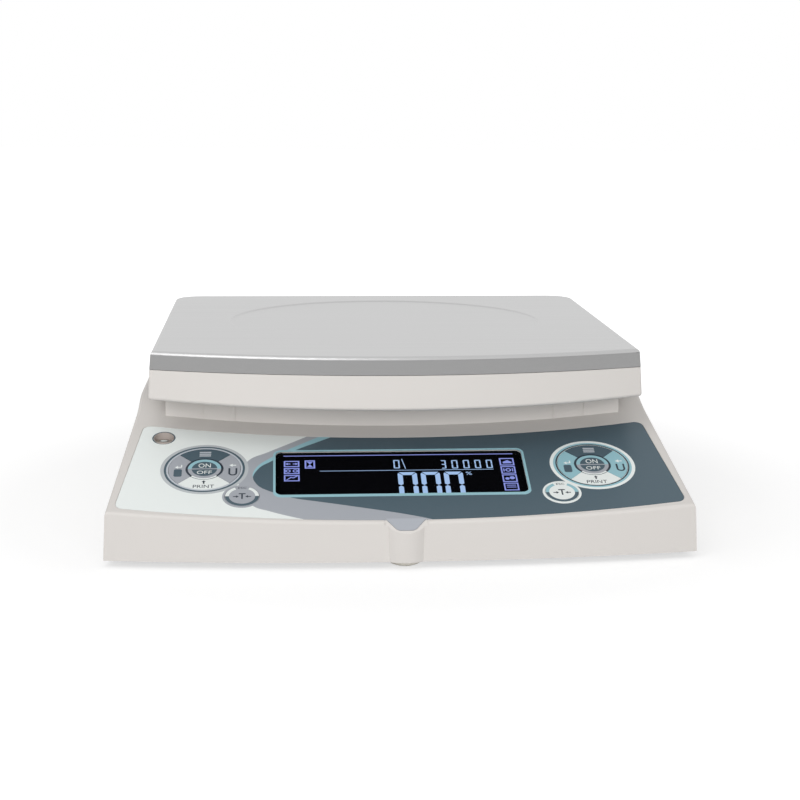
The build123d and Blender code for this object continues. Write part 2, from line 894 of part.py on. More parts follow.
with BuildPart() as pan_buffers:
    with BuildSketch(Plane.XY.offset(carrier_deck - buffer_seat_depth)):
        with Locations(*buffer_places):
            Circle(buffer_radius)
    extrude(amount=pan_top - pan_sheet - carrier_deck + buffer_seat_depth)
    chamfer(pan_buffers.faces().group_by(Axis.Z)[-1].edges(), buffer_chamfer)
save(pan_buffers, "pan_buffers")


# Bracket: a cast plate with four arms and posts, and a hub down to the load cell
hub_bottom = cell_top + upper_spacer_height
arm_span = 2 * math.hypot(post_x, post_y)
arm_angle = math.degrees(math.atan2(post_y, post_x))
upper_bolt_places = [(0, free_y + end * cell_bolt_spacing / 2) for end in (-1, 1)]
lower_bolt_places = [(0, fixed_y + end * cell_bolt_spacing / 2) for end in (-1, 1)]
with BuildPart() as pan_bracket:
    with BuildSketch(Plane.XY.offset(bracket_z)):
        with Locations((0, pan_centre_y)):
            RectangleRounded(2 * bracket_half_width, 2 * bracket_half_length, bracket_corner_radius)
            SlotCenterToCenter(arm_span, bracket_arm_width, rotation=arm_angle)
            SlotCenterToCenter(arm_span, bracket_arm_width, rotation=-arm_angle)
            with Locations((0, -bracket_half_length / 2)):
                Circle(bracket_half_width / 2, mode=Mode.SUBTRACT)
    extrude(amount=bracket_plate)
    with BuildSketch(Plane.XY.offset(bracket_top)):
        with Locations(*post_places):
            Circle(post_radius)
    extrude(amount=post_height)
    with BuildSketch(Plane.XY.offset(bracket_top)):
        with Locations((0, pan_centre_y)):
            Rectangle(arm_span, bracket_rib, rotation=arm_angle)
            Rectangle(arm_span, bracket_rib, rotation=-arm_angle)
            Rectangle(2 * bracket_half_width, bracket_half_length, mode=Mode.SUBTRACT)
    extrude(amount=bracket_rib_height)
    with BuildSketch(Plane.XY.offset(hub_bottom)):
        with Locations((0, free_y)):
            RectangleRounded(2 * hub_half_width, 2 * hub_half_width, hub_corner_radius)
    extrude(amount=bracket_z - hub_bottom)
    with BuildSketch(Plane.XY.offset(hub_bottom)):
        with Locations(*upper_bolt_places):
            Circle(cell_bolt_radius + thread_clearance)
    extrude(amount=bracket_top - hub_bottom, mode=Mode.SUBTRACT)
    with BuildSketch(Plane.XY.offset(bracket_top)):
        with Locations(*upper_bolt_places):
            Circle(cell_bolt_head_radius + head_clearance)
    extrude(amount=-cell_bolt_head, mode=Mode.SUBTRACT)
    with BuildSketch(Plane.XY.offset(bracket_top + post_height)):
        with Locations(*post_places):
            Circle(frame_screw_radius + thread_clearance)
    extrude(amount=-(carrier_screw_length - carrier_wall + carrier_screw_room), mode=Mode.SUBTRACT)
save(pan_bracket, "pan_bracket")


# A group of screws: head then shank, pointing up or down along Z
def screws(places, seat, head_radius, head, shank_radius, shank, up):
    with BuildPart() as group:
        with BuildSketch(Plane.XY.offset(seat)):
            with Locations(*places):
                Circle(head_radius)
        extrude(amount=-head if up else head)
        with BuildSketch(Plane.XY.offset(seat)):
            with Locations(*places):
                Circle(shank_radius)
        extrude(amount=shank if up else -shank)
    return group


carrier_screws = screws(
    post_places, carrier_deck, carrier_screw_head_radius, carrier_screw_head,
    frame_screw_radius, carrier_screw_length, up=False,
)
save(carrier_screws, "carrier_screws")


# A solid block with two bolt holes, between the load cell and what it is bolted to
def spacer(z, height, y, places):
    with BuildPart() as block:
        with BuildSketch(Plane.XY.offset(z)):
            with Locations((0, y)):
                RectangleRounded(cell_width, spacer_length, spacer_corner_radius)
            with Locations(*places):
                Circle(cell_bolt_radius + thread_clearance, mode=Mode.SUBTRACT)
        extrude(amount=height)
    return block


cell_spacer_lower = spacer(frame_top, lower_spacer_height, fixed_y, lower_bolt_places)
save(cell_spacer_lower, "cell_spacer_lower")
cell_spacer_upper = spacer(cell_top, upper_spacer_height, free_y, upper_bolt_places)
save(cell_spacer_upper, "cell_spacer_upper")

with BuildPart() as load_cell:
    with BuildSketch(Plane.XY.offset(cell_z)):
        with Locations((0, pan_centre_y)):
            Rectangle(cell_width, cell_length)
    extrude(amount=cell_height)
    with BuildSketch(Plane.YZ):
        with Locations(
            (pan_centre_y - cell_eye_spacing / 2, cell_z + cell_height / 2),
            (pan_centre_y + cell_eye_spacing / 2, cell_z + cell_height / 2),
        ):
            Circle(cell_eye_radius)
        with Locations((pan_centre_y, cell_z + cell_height / 2)):
            Rectangle(cell_eye_spacing, cell_eye_radius)
    extrude(amount=cell_width, both=True, mode=Mode.SUBTRACT)
    with BuildSketch(Plane.XY.offset(cell_z)):
        with Locations(*lower_bolt_places):
            Circle(cell_bolt_radius + thread_clearance)
    extrude(amount=cell_bolt_grip + cell_bolt_room, mode=Mode.SUBTRACT)
    with BuildSketch(Plane.XY.offset(cell_top)):
        with Locations(*upper_bolt_places):
            Circle(cell_bolt_radius + thread_clearance)
    extrude(amount=-cell_bolt_grip - cell_bolt_room, mode=Mode.SUBTRACT)
    chamfer(load_cell.edges().filter_by(Axis.Z).group_by(SortBy.LENGTH)[-1], cell_edge_chamfer)
save(load_cell, "load_cell")

cell_bolts_lower = screws(
    lower_bolt_places, frame_z, cell_bolt_head_radius, cell_bolt_head,
    cell_bolt_radius, frame_plate + lower_spacer_height + cell_bolt_grip, up=True,
)
save(cell_bolts_lower, "cell_bolts_lower")
cell_bolts_upper = screws(
    upper_bolt_places, bracket_z, cell_bolt_head_radius, cell_bolt_head,
    cell_bolt_radius, bracket_z - cell_top + cell_bolt_grip, up=False,
)
save(cell_bolts_upper, "cell_bolts_upper")

with BuildPart() as overload_stop:
    with BuildSketch(Plane.XY.offset(frame_z)):
        with Locations((0, free_y)):
            Circle(stop_radius)
    extrude(amount=cell_z - stop_gap - frame_z)
    with BuildSketch(Plane.XY.offset(frame_top)):
        with Locations((0, free_y)):
            RegularPolygon(stop_nut_radius, 6)
            Circle(stop_radius, mode=Mode.SUBTRACT)
    extrude(amount=stop_nut_height)
save(overload_stop, "overload_stop")


# Steel frame: a spine from the front foot to a bar across the two rear feet
with BuildPart() as base_frame:
    with BuildSketch(Plane.XY.offset(frame_z)):
        with BuildSketch(mode=Mode.PRIVATE) as spine:
            with Locations((0, foot_front_y)):
                Circle(frame_end_radius)
            spine_start = foot_front_y + frame_spine_taper
            with Locations((0, spine_start)):
                Rectangle(
                    2 * frame_spine_half_width, foot_rear_y - spine_start, align=(Align.CENTER, Align.MIN)
                )
            make_hull()
        add(spine.sketch)
        with Locations((0, foot_rear_y)):
            SlotCenterToCenter(2 * foot_rear_x, frame_bar_depth)
        with Locations(*foot_places.values()):
            Circle(foot_bush_radius + thread_clearance, mode=Mode.SUBTRACT)
        with Locations(*lower_bolt_places):
            Circle(cell_bolt_radius + cell_bolt_clearance, mode=Mode.SUBTRACT)
        with Locations((0, free_y)):
            Circle(stop_radius + thread_clearance, mode=Mode.SUBTRACT)
        with Locations(*frame_screw_places):
            Circle(frame_screw_radius + thread_clearance, mode=Mode.SUBTRACT)
    extrude(amount=frame_plate)
save(base_frame, "base_frame")

frame_screws = screws(
    frame_screw_places, screw_seat, frame_screw_head_radius, housing_screw_head,
    frame_screw_radius, frame_top - screw_seat, up=True,
)
save(frame_screws, "frame_screws")
housing_screws = screws(
    housing_boss_places, screw_seat, housing_screw_head_radius, housing_screw_head,
    housing_screw_radius, housing_screw_length, up=True,
)
save(housing_screws, "housing_screws")


# Three adjustable feet: a threaded bush in the frame, a stud with a hand wheel, a rubber sole
with BuildPart() as foot_bushes:
    with BuildSketch(Plane.XY.offset(foot_bush_top)):
        with Locations(*foot_places.values()):
            Circle(foot_bush_radius)
    extrude(amount=-(foot_bush_top - frame_z + foot_bush_drop))
    with BuildSketch(Plane.XY.offset(frame_top)):
        with Locations(*foot_places.values()):
            Circle(foot_bush_flange_radius)
    extrude(amount=foot_bush_flange)
    with BuildSketch(Plane.XY.offset(foot_bush_top)):
        with Locations(*foot_places.values()):
            Circle(foot_stud_radius + foot_fit)
    extrude(amount=-2 * foot_bush_top, mode=Mode.SUBTRACT)
save(foot_bushes, "foot_bushes")

for place, (x, y) in foot_places.items():
    with BuildPart() as foot_stud:
        with BuildSketch(Plane.XY.offset(foot_sole_height + foot_sole_fit)):
            with Locations((x, y)):
                Circle(foot_stud_radius)
        extrude(amount=foot_stud_top - foot_sole_height - foot_sole_fit)
        chamfer(foot_stud.faces().sort_by(Axis.Z)[-1].edges(), foot_stud_chamfer)
    save(foot_stud, "foot_" + place + "_stud")

    with BuildPart() as foot_wheel:
        with BuildSketch(Plane.XY.offset(foot_sole_shows)):
            with Locations((x, y)):
                Circle(foot_wheel_radius)
        extrude(amount=foot_wheel_height)
        fillet(foot_wheel.faces().sort_by(Axis.Z)[0].edges(), foot_wheel_edge)
        with BuildSketch(Plane.XY.offset(foot_sole_shows)):
            with Locations((x, y)):
                with PolarLocations(foot_wheel_radius + foot_flute_radius / 2, foot_flutes):
                    Circle(foot_flute_radius)
        extrude(amount=foot_wheel_height, mode=Mode.SUBTRACT)
        with BuildSketch(Plane.XY.offset(foot_sole_shows)):
            with Locations((x, y)):
                Circle(foot_sole_radius + foot_sole_fit)
        extrude(amount=foot_sole_height + foot_sole_fit - foot_sole_shows, mode=Mode.SUBTRACT)
        with BuildSketch(Plane.XY.offset(foot_sole_shows)):
            with Locations((x, y)):
                Circle(foot_stud_radius + thread_clearance)
        extrude(amount=2 * foot_wheel_height, mode=Mode.SUBTRACT)
    save(foot_wheel, "foot_" + place + "_wheel")

    with BuildPart() as foot_sole:
        with BuildSketch():
            with Locations((x, y)):
                Circle(foot_sole_radius)
        extrude(amount=foot_sole_height)
        chamfer(foot_sole.faces().sort_by(Axis.Z)[0].edges(), foot_sole_shows / 2)
    save(foot_sole, "foot_" + place + "_sole")


# Label film with its tab over the nose, and the clear window under it
with BuildPart() as panel_film:
    with BuildSketch(panel):
        add(film_plan(0))
        add(rounded_window(0), mode=Mode.SUBTRACT)
        with Locations((-dial_x, dial_u), (dial_x, dial_u)):
            Circle(dial_radius + key_gap, mode=Mode.SUBTRACT)
        with Locations((-tare_x, tare_u), (tare_x, tare_u)):
            Circle(tare_radius + key_gap, mode=Mode.SUBTRACT)
        with Locations((level_x, level_u)):
            Circle(level_hole_radius, mode=Mode.SUBTRACT)
    extrude(amount=-film)
    with BuildSketch(tab_plane):
        add(tab_plan(0))
    extrude(amount=-film)
save(panel_film, "panel_film")

with BuildPart() as display_window:
    with BuildSketch(panel.offset(-film)):
        add(rounded_window(window_ledge))
    extrude(amount=-window_sheet)
save(display_window, "display_window")


# Display stack under the window: gasket, glass, backlight and board
with BuildPart() as display_gasket:
    with BuildSketch(panel.offset(-wall)):
        add(rounded_window(gasket_width))
        add(rounded_window(0), mode=Mode.SUBTRACT)
    extrude(amount=-(display_depth - wall))
save(display_gasket, "display_gasket")

with BuildPart() as display_glass:
    with BuildSketch(panel.offset(-display_depth)):
        with Locations((0, window_u)):
            Rectangle(2 * (window_half_width + display_margin), window_height + 2 * display_margin)
    extrude(amount=-display_glass_thickness)
save(display_glass, "display_glass")

with BuildPart() as display_backlight:
    with BuildSketch(panel.offset(-display_depth - display_glass_thickness)):
        with Locations((0, window_u)):
            Rectangle(
                2 * (window_half_width + display_margin - display_backlight_inset),
                window_height + 2 * (display_margin - display_backlight_inset),
            )
    extrude(amount=-display_backlight_thickness)
save(display_backlight, "display_backlight")

with BuildPart() as display_board:
    with BuildSketch(panel.offset(-display_board_n)):
        with Locations((0, window_u)):
            Rectangle(
                2 * (window_half_width + display_margin + display_board_margin),
                window_height + 2 * (display_margin + display_post_margin + display_board_margin),
            )
        with Locations(*display_post_places):
            Circle(small_screw_radius + thread_clearance, mode=Mode.SUBTRACT)
    extrude(amount=-board)
    with BuildSketch(panel.offset(-display_board_n - board)):
        with Locations((display_chip_x, window_u), (-display_chip_x, window_u)):
            Rectangle(display_chip_size, display_chip_size)
    extrude(amount=-display_chip_height)
save(display_board, "display_board")


# Keypad boards, one under each dial and its tare key, with snap domes
for side, sign in (("left", -1), ("right", 1)):
    with BuildPart() as keypad_board:
        with BuildSketch(panel.offset(-wall)):
            with Locations((sign * dial_x, dial_u)):
                Circle(dial_radius + key_hole_margin + keypad_margin)
            with Locations((sign * tare_x, tare_u)):
                Circle(tare_radius + key_hole_margin + keypad_margin / 2)
            make_hull()
            with Locations(*[place for place in keypad_screw_places if place[0] * sign > 0]):
                Circle(small_screw_radius + thread_clearance, mode=Mode.SUBTRACT)
        extrude(amount=-board)
    save(keypad_board, "keypad_board_" + side)


# One key: a pad level with the film and a plunger over its dome
def key_piece(outline, x, u, plunger_x, plunger_u):
    dome_top = -wall + key_dome_height
    with BuildPart() as key:
        with BuildSketch(on_panel(x, u, key_rise)):
            add(outline)
        extrude(amount=-key_pad)
        chamfer(key.faces().sort_by(Axis.Z)[-1].edges(), key_bevel)
        with BuildSketch(on_panel(plunger_x, plunger_u, key_rise - key_pad)):
            Circle(key_plunger_radius)
        extrude(amount=-(key_rise - key_pad - dome_top - key_dome_clearance))
    return key


# A quarter of the ring around the hub, open by the key gap along its diagonals
def sector_outline(angle):
    with BuildSketch() as outline:
        Circle(dial_radius)
        Circle(dial_hub_radius + key_gap, mode=Mode.SUBTRACT)
        reach = 2 * dial_radius
        start = key_gap / math.sqrt(2)
        with BuildLine(mode=Mode.PRIVATE) as wedge:
            Polyline((start, 0), (start + reach, reach), (start + reach, -reach), close=True)
        with BuildSketch(mode=Mode.PRIVATE) as quarter:
            add(make_face(wedge.edges(), mode=Mode.PRIVATE).rotate(Axis.Z, angle))
        add(quarter.sketch, mode=Mode.INTERSECT)
    return outline.sketch


dome_places = []
sector_keys = {"units": 0, "menu": 90, "enter": 180, "print": 270}
sector_middle = (dial_radius + dial_hub_radius + key_gap) / 2
for side, sign in (("left", -1), ("right", 1)):
    x = sign * dial_x
    for name, angle in sector_keys.items():
        plunger_x = x + sector_middle * math.cos(math.radians(angle))
        plunger_u = dial_u + sector_middle * math.sin(math.radians(angle))
        dome_places.append((plunger_x, plunger_u))
        save(
            key_piece(sector_outline(angle), x, dial_u, plunger_x, plunger_u),
            "key_" + side + "_" + name,
        )
    with BuildSketch() as hub_outline:
        Circle(dial_hub_radius)
    dome_places.append((x, dial_u))
    save(key_piece(hub_outline.sketch, x, dial_u, x, dial_u), "key_" + side + "_power")
    with BuildSketch() as tare_outline:
        Circle(tare_radius)
    tare_place = sign * tare_x
    dome_places.append((tare_place, tare_u))
    save(
        key_piece(tare_outline.sketch, tare_place, tare_u, tare_place, tare_u),
        "key_" + side + "_tare",
    )

with BuildPart() as key_domes:
    with Locations(*[on_panel(x, u, -wall) for x, u in dome_places]):
        Cone(
            key_dome_radius, key_dome_radius - key_dome_height, key_dome_height,
            align=(Align.CENTER, Align.CENTER, Align.MIN),
        )
save(key_domes, "key_domes")


# Small screws into the back of the panel
def panel_screws(places, n, bite):
    with BuildPart() as group:
        with BuildSketch(panel.offset(-n)):
            with Locations(*places):
                Circle(small_screw_head_radius)
        extrude(amount=-small_screw_head)
        with BuildSketch(panel.offset(-n)):
            with Locations(*places):
                Circle(small_screw_radius)
        extrude(amount=bite)
    return group


keypad_screws = panel_screws(keypad_screw_places, wall + board, board + small_screw_bite)
save(keypad_screws, "keypad_screws")
display_screws = panel_screws(
    display_post_places, display_board_n + board, board + 2 * small_screw_bite
)
save(display_screws, "display_screws")


# Level: a cup in the housing's holder, closed by a clear lens
with BuildPart() as level_cup:
    with BuildSketch(Plane.XY.offset(level_bottom)):
        with Locations((level_x, level_origin.Y)):
            Circle(level_radius)
    extrude(amount=level_height)
    with BuildSketch(Plane.XY.offset(level_bottom + level_wall)):
        with Locations((level_x, level_origin.Y)):
            Circle(level_radius - level_wall)
    extrude(amount=level_height, mode=Mode.SUBTRACT)
save(level_cup, "level_cup")

with BuildPart() as level_vial:
    with BuildSketch(Plane.XY.offset(level_bottom + level_wall)):
        with Locations((level_x, level_origin.Y)):
            Circle(level_radius - level_wall - thread_clearance)
    extrude(amount=level_height - level_wall - level_lens_sink)
save(level_vial, "level_vial")


# Battery, its door and the door's screws
battery_z = base_gap + door_plate + door_plug
terminal_x = battery_x - battery_length / 2 + battery_terminal_inset
with BuildPart() as battery:
    with BuildSketch(Plane.XY.offset(battery_z)):
        with Locations((battery_x, battery_y)):
            RectangleRounded(battery_length, battery_width, battery_edge_radius)
    extrude(amount=battery_height)
    with BuildSketch(Plane.XY.offset(battery_z + battery_height)):
        with Locations(
            (terminal_x, battery_y - battery_width / 2 + battery_terminal_inset),
            (terminal_x, battery_y + battery_width / 2 - battery_terminal_inset),
        ):
            Rectangle(battery_terminal_width, battery_terminal_thickness)
    extrude(amount=battery_terminal_height)
save(battery, "battery")

with BuildPart() as battery_door:
    with BuildSketch(Plane.XY.offset(base_gap)):
        with Locations((battery_x, battery_y)):
            Rectangle(door_length - 2 * door_clearance, door_width - 2 * door_clearance)
    extrude(amount=door_plate)
    with BuildSketch(Plane.XY.offset(base_gap + door_plate)):
        with Locations((battery_x, battery_y)):
            Rectangle(battery_length, battery_width)
    extrude(amount=door_plug)
    with BuildSketch(Plane.XY.offset(base_gap)):
        with Locations(*door_screw_places):
            Circle(door_screw_radius + thread_clearance)
    extrude(amount=door_plate, mode=Mode.SUBTRACT)
    with BuildSketch(Plane.XY.offset(base_gap)):
        with Locations(*door_screw_places):
            Circle(door_screw_head_radius + head_clearance)
    extrude(amount=door_screw_sink + door_screw_head, mode=Mode.SUBTRACT)
save(battery_door, "battery_door")

door_screws = screws(
    door_screw_places, base_gap + door_screw_sink + door_screw_head, door_screw_head_radius,
    door_screw_head, door_screw_radius, door_screw_length, up=True,
)
save(door_screws, "door_screws")


# Main board on its standoffs
main_board_z = floor_top + main_board_lift
with BuildPart() as main_board:
    with BuildSketch(Plane.XY.offset(main_board_z)):
        with Locations((main_board_x, main_board_y)):
            RectangleRounded(main_board_width, main_board_length, board_corner_radius)
        with Locations(*board_screw_places):
            Circle(small_screw_radius + thread_clearance, mode=Mode.SUBTRACT)
    extrude(amount=board)
    with BuildSketch(Plane.XY.offset(main_board_z + board)):
        with Locations((main_board_x, main_board_y)):
            Rectangle(chip_size, chip_size)
    extrude(amount=chip_height)
    with BuildSketch(Plane.XY.offset(main_board_z + board)):
        with Locations(
            (main_board_x, main_board_y + main_board_length / 2 - header_width),
            (main_board_x, main_board_y - main_board_length / 2 + header_width),
        ):
            Rectangle(header_length, header_width)
    extrude(amount=header_height)
    with BuildSketch(Plane.XY.offset(main_board_z + board)):
        with Locations((main_board_x + main_board_width / 4, main_board_y + main_board_length / 4)):
            with GridLocations(capacitor_spacing, capacitor_spacing, 2, 1):
                Circle(capacitor_radius)
    extrude(amount=capacitor_height)
save(main_board, "main_board")

main_board_screws = screws(
    board_screw_places, main_board_z + board, small_screw_head_radius, small_screw_head,
    small_screw_radius, board + small_screw_bite, up=False,
)
save(main_board_screws, "main_board_screws")


# Sockets in the back wall: a round power inlet and a serial port with pins
inner_pad_y = socket_recess_y - socket_pad
with BuildPart() as power_inlet:
    with BuildSketch(Plane.XZ.offset(-socket_recess_y)):
        with Locations((inlet_x, socket_z)):
            Circle(inlet_flange_radius)
    extrude(amount=-inlet_flange)
    with BuildSketch(Plane.XZ.offset(-socket_recess_y)):
        with Locations((inlet_x, socket_z)):
            Circle(inlet_radius)
    extrude(amount=inlet_length)
    with BuildSketch(Plane.XZ.offset(-socket_recess_y - inlet_flange)):
        with Locations((inlet_x, socket_z)):
            Circle(inlet_bore_radius)
    extrude(amount=inlet_length, mode=Mode.SUBTRACT)
    with BuildSketch(Plane.XZ.offset(-socket_recess_y + inlet_length)):
        with Locations((inlet_x, socket_z)):
            Circle(inlet_bore_radius + inlet_wall)
    extrude(amount=-inlet_wall)
    with BuildSketch(Plane.XZ.offset(-socket_recess_y + inlet_length - inlet_wall)):
        with Locations((inlet_x, socket_z)):
            Circle(inlet_pin_radius)
    extrude(amount=-(inlet_length - 2 * inlet_wall))
save(power_inlet, "power_inlet")

with BuildPart() as inlet_nut:
    with BuildSketch(Plane.XZ.offset(-inner_pad_y)):
        with Locations((inlet_x, socket_z)):
            RegularPolygon(inlet_nut_radius, 6)
            Circle(inlet_radius + thread_clearance, mode=Mode.SUBTRACT)
    extrude(amount=inlet_nut_height)
save(inlet_nut, "inlet_nut")


# The D-shaped outline of the serial port's shell
def serial_shell(margin):
    half = serial_shell_width / 2 + margin
    height = serial_shell_height / 2 + margin
    with BuildSketch() as outline:
        with BuildLine():
            Polyline(
                (-half, height),
                (half, height),
                (half - serial_shell_slant, -height),
                (-half + serial_shell_slant, -height),
                close=True,
            )
        make_face()
        fillet(outline.vertices(), serial_shell_corner_radius)
    return outline.sketch


pin_places = [(serial_pin_pitch * (i - 2), serial_row_pitch / 2) for i in range(5)]
pin_places += [(serial_pin_pitch * (i - 1.5), -serial_row_pitch / 2) for i in range(4)]
with BuildPart() as serial_port:
    flange_plane = Plane(origin=(serial_x, inner_pad_y, socket_z), x_dir=(-1, 0, 0), z_dir=(0, 1, 0))
    with BuildSketch(flange_plane.offset(-serial_flange)):
        Rectangle(serial_flange_width, serial_flange_height)
        with Locations((-serial_screw_x, 0), (serial_screw_x, 0)):
            Circle(jack_screw_radius + jack_screw_clearance, mode=Mode.SUBTRACT)
    extrude(amount=serial_flange)
    with BuildSketch(flange_plane.offset(-serial_flange)):
        add(serial_shell(0))
    extrude(amount=-serial_body_depth)
    with BuildSketch(flange_plane):
        add(serial_shell(0))
    extrude(amount=serial_reach)
    with BuildSketch(flange_plane.offset(serial_reach)):
        add(serial_shell(-serial_shell_sheet))
    extrude(amount=-serial_reach, mode=Mode.SUBTRACT)
    with BuildSketch(flange_plane):
        with Locations(*pin_places):
            Circle(serial_pin_radius)
    extrude(amount=serial_reach - serial_pin_sink)
save(serial_port, "serial_port")

with BuildPart() as serial_screws:
    with BuildSketch(Plane.XZ.offset(-socket_recess_y)):
        with Locations(*serial_screw_places):
            RegularPolygon(jack_screw_hex / math.sqrt(3), 6)
    extrude(amount=-inlet_flange)
    with BuildSketch(Plane.XZ.offset(-socket_recess_y)):
        with Locations(*serial_screw_places):
            Circle(jack_screw_radius)
    extrude(amount=socket_pad + serial_flange + jack_screw_tail)
save(serial_screws, "serial_screws")
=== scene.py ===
import bmesh
import bpy
import json
import math
from mathutils import Matrix, Vector


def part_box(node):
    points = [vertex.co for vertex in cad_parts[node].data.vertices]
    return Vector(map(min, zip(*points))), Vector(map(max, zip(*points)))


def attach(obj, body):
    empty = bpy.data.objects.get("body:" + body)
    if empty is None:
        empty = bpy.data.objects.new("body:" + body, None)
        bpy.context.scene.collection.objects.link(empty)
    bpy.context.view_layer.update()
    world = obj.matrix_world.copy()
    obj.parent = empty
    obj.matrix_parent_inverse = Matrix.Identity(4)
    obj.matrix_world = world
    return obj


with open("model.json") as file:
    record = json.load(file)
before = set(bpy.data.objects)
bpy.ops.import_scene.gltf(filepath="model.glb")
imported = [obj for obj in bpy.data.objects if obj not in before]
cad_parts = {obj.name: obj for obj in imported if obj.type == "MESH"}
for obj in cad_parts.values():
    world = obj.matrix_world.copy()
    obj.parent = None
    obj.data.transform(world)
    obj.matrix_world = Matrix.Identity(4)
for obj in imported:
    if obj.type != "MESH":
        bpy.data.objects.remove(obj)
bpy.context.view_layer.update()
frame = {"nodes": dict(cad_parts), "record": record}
nodes = frame["nodes"]
print("frame loaded:", len(nodes), "nodes")

# The sloping panel: x along it, u up it and n out of it, in millimetres
panel = {"frontY": -0.164, "frontZ": 0.0322, "angle": math.radians(21.5)}
slopeCos, slopeSin = math.cos(panel["angle"]), math.sin(panel["angle"])
panelMatrix = Matrix((
    (0.001, 0, 0, 0),
    (0, 0.001 * slopeCos, -0.001 * slopeSin, panel["frontY"]),
    (0, 0.001 * slopeSin, 0.001 * slopeCos, panel["frontZ"]),
    (0, 0, 0, 1),
))


def link(item):
    bpy.context.scene.collection.objects.link(item)
    return item


# ---- small node helpers ----
def linear(colour):
    return tuple(c / 12.92 if c <= 0.04045 else ((c + 0.055) / 1.055) ** 2.4 for c in colour)


def shade(red, green, blue):  # a colour as an eye or a paint chart gives it, 0 to 255
    return linear((red / 255, green / 255, blue / 255)) + (1.0,)


def startMaterial(name):
    material = bpy.data.materials.new(name)
    material.use_nodes = True
    tree = material.node_tree
    tree.nodes.clear()
    output = tree.nodes.new("ShaderNodeOutputMaterial")
    shader = tree.nodes.new("ShaderNodeBsdfPrincipled")
    tree.links.new(shader.outputs[0], output.inputs["Surface"])
    return material, tree, shader


def feed(tree, value, socket):
    if hasattr(value, "node"):
        tree.links.new(value, socket)
    else:
        socket.default_value = value


def calc(tree, kind, first, second=None, third=None):
    node = tree.nodes.new("ShaderNodeMath")
    node.operation = kind
    for socket, value in zip(node.inputs, (first, second, third)):
        if value is not None:
            feed(tree, value, socket)
    return node.outputs[0]


def blendColour(tree, factor, first, second):
    node = tree.nodes.new("ShaderNodeMix")
    node.data_type = "RGBA"
    feed(tree, factor, node.inputs[0])
    feed(tree, first, node.inputs[6])
    feed(tree, second, node.inputs[7])
    return node.outputs[2]


def spread(tree, value, low, high):  # a texture's 0..1 turned into low..high
    node = tree.nodes.new("ShaderNodeMapRange")
    feed(tree, value, node.inputs["Value"])
    node.inputs["From Min"].default_value = 0.25
    node.inputs["From Max"].default_value = 0.75
    node.inputs["To Min"].default_value = low
    node.inputs["To Max"].default_value = high
    return node.outputs[0]


def place(tree, scale=(1, 1, 1)):
    coordinates = tree.nodes.new("ShaderNodeTexCoord").outputs["Object"]
    mapping = tree.nodes.new("ShaderNodeMapping")
    mapping.inputs["Scale"].default_value = scale
    tree.links.new(coordinates, mapping.inputs["Vector"])
    return mapping.outputs[0]


def axes(tree):  # the object's own x, y and z
    apart = tree.nodes.new("ShaderNodeSeparateXYZ")
    tree.links.new(tree.nodes.new("ShaderNodeTexCoord").outputs["Object"], apart.inputs[0])
    return apart.outputs


def length(tree, across, along):
    squares = calc(tree, "MULTIPLY_ADD", across, across, calc(tree, "MULTIPLY", along, along))
    return calc(tree, "SQRT", squares)


def noise(tree, vector, scale, detail=2.0):
    node = tree.nodes.new("ShaderNodeTexNoise")
    tree.links.new(vector, node.inputs["Vector"])
    node.inputs["Scale"].default_value = scale
    node.inputs["Detail"].default_value = detail
    return node.outputs["Fac"]


def bump(tree, height, depth, shader, strength=1.0):
    node = tree.nodes.new("ShaderNodeBump")
    node.inputs["Strength"].default_value = strength
    node.inputs["Distance"].default_value = depth
    tree.links.new(height, node.inputs["Height"])
    tree.links.new(node.outputs[0], shader.inputs["Normal"])


# ---- finishes ----
def moulded(name, colour, rough=0.5, change=0.03, grain=1400, depth=0.00003, gloss=0.35):
    material, tree, shader = startMaterial(name)
    vector = place(tree)
    cloud = noise(tree, vector, 14, 3)
    fine = noise(tree, vector, grain, 2)
    darker = tuple(c * (1 - change) for c in colour[:3]) + (1,)
    feed(tree, blendColour(tree, cloud, darker, colour), shader.inputs["Base Color"])
    feed(tree, spread(tree, fine, rough - 0.05, rough + 0.05), shader.inputs["Roughness"])
    shader.inputs["Specular IOR Level"].default_value = gloss
    bump(tree, fine, depth, shader)
    return material


def metal(name, colour, rough=0.3, streaks=(6, 900, 900), depth=0.000008, change=0.08, rim=None):
    material, tree, shader = startMaterial(name)
    vector = place(tree, streaks)
    brushed = noise(tree, vector, 1.0, 4)
    darker = tuple(c * (1 - change) for c in colour[:3]) + (1,)
    tone = blendColour(tree, brushed, darker, colour)
    # painted shade: the rim tone darkens the metal under a height, for a side band that light reaches less
    if rim:  # a darker tone under a height
        under = calc(tree, "LESS_THAN", axes(tree)["Z"], rim["height"])
        tone = blendColour(tree, under, tone, rim["colour"])
    feed(tree, tone, shader.inputs["Base Color"])
    feed(tree, spread(tree, brushed, rough - 0.06, rough + 0.06), shader.inputs["Roughness"])
    shader.inputs["Metallic"].default_value = 1.0
    bump(tree, brushed, depth, shader)
    return material


def circuitBoard(name):
    material, tree, shader = startMaterial(name)
    brick = tree.nodes.new("ShaderNodeTexBrick")
    tree.links.new(place(tree), brick.inputs["Vector"])
    brick.inputs["Scale"].default_value = 60
    brick.inputs["Mortar Size"].default_value = 0.012
    brick.inputs["Color1"].default_value = shade(24, 92, 56)
    brick.inputs["Color2"].default_value = shade(20, 84, 52)
    brick.inputs["Mortar"].default_value = shade(62, 132, 84)
    feed(tree, brick.outputs["Color"], shader.inputs["Base Color"])
    shader.inputs["Roughness"].default_value = 0.35
    return material


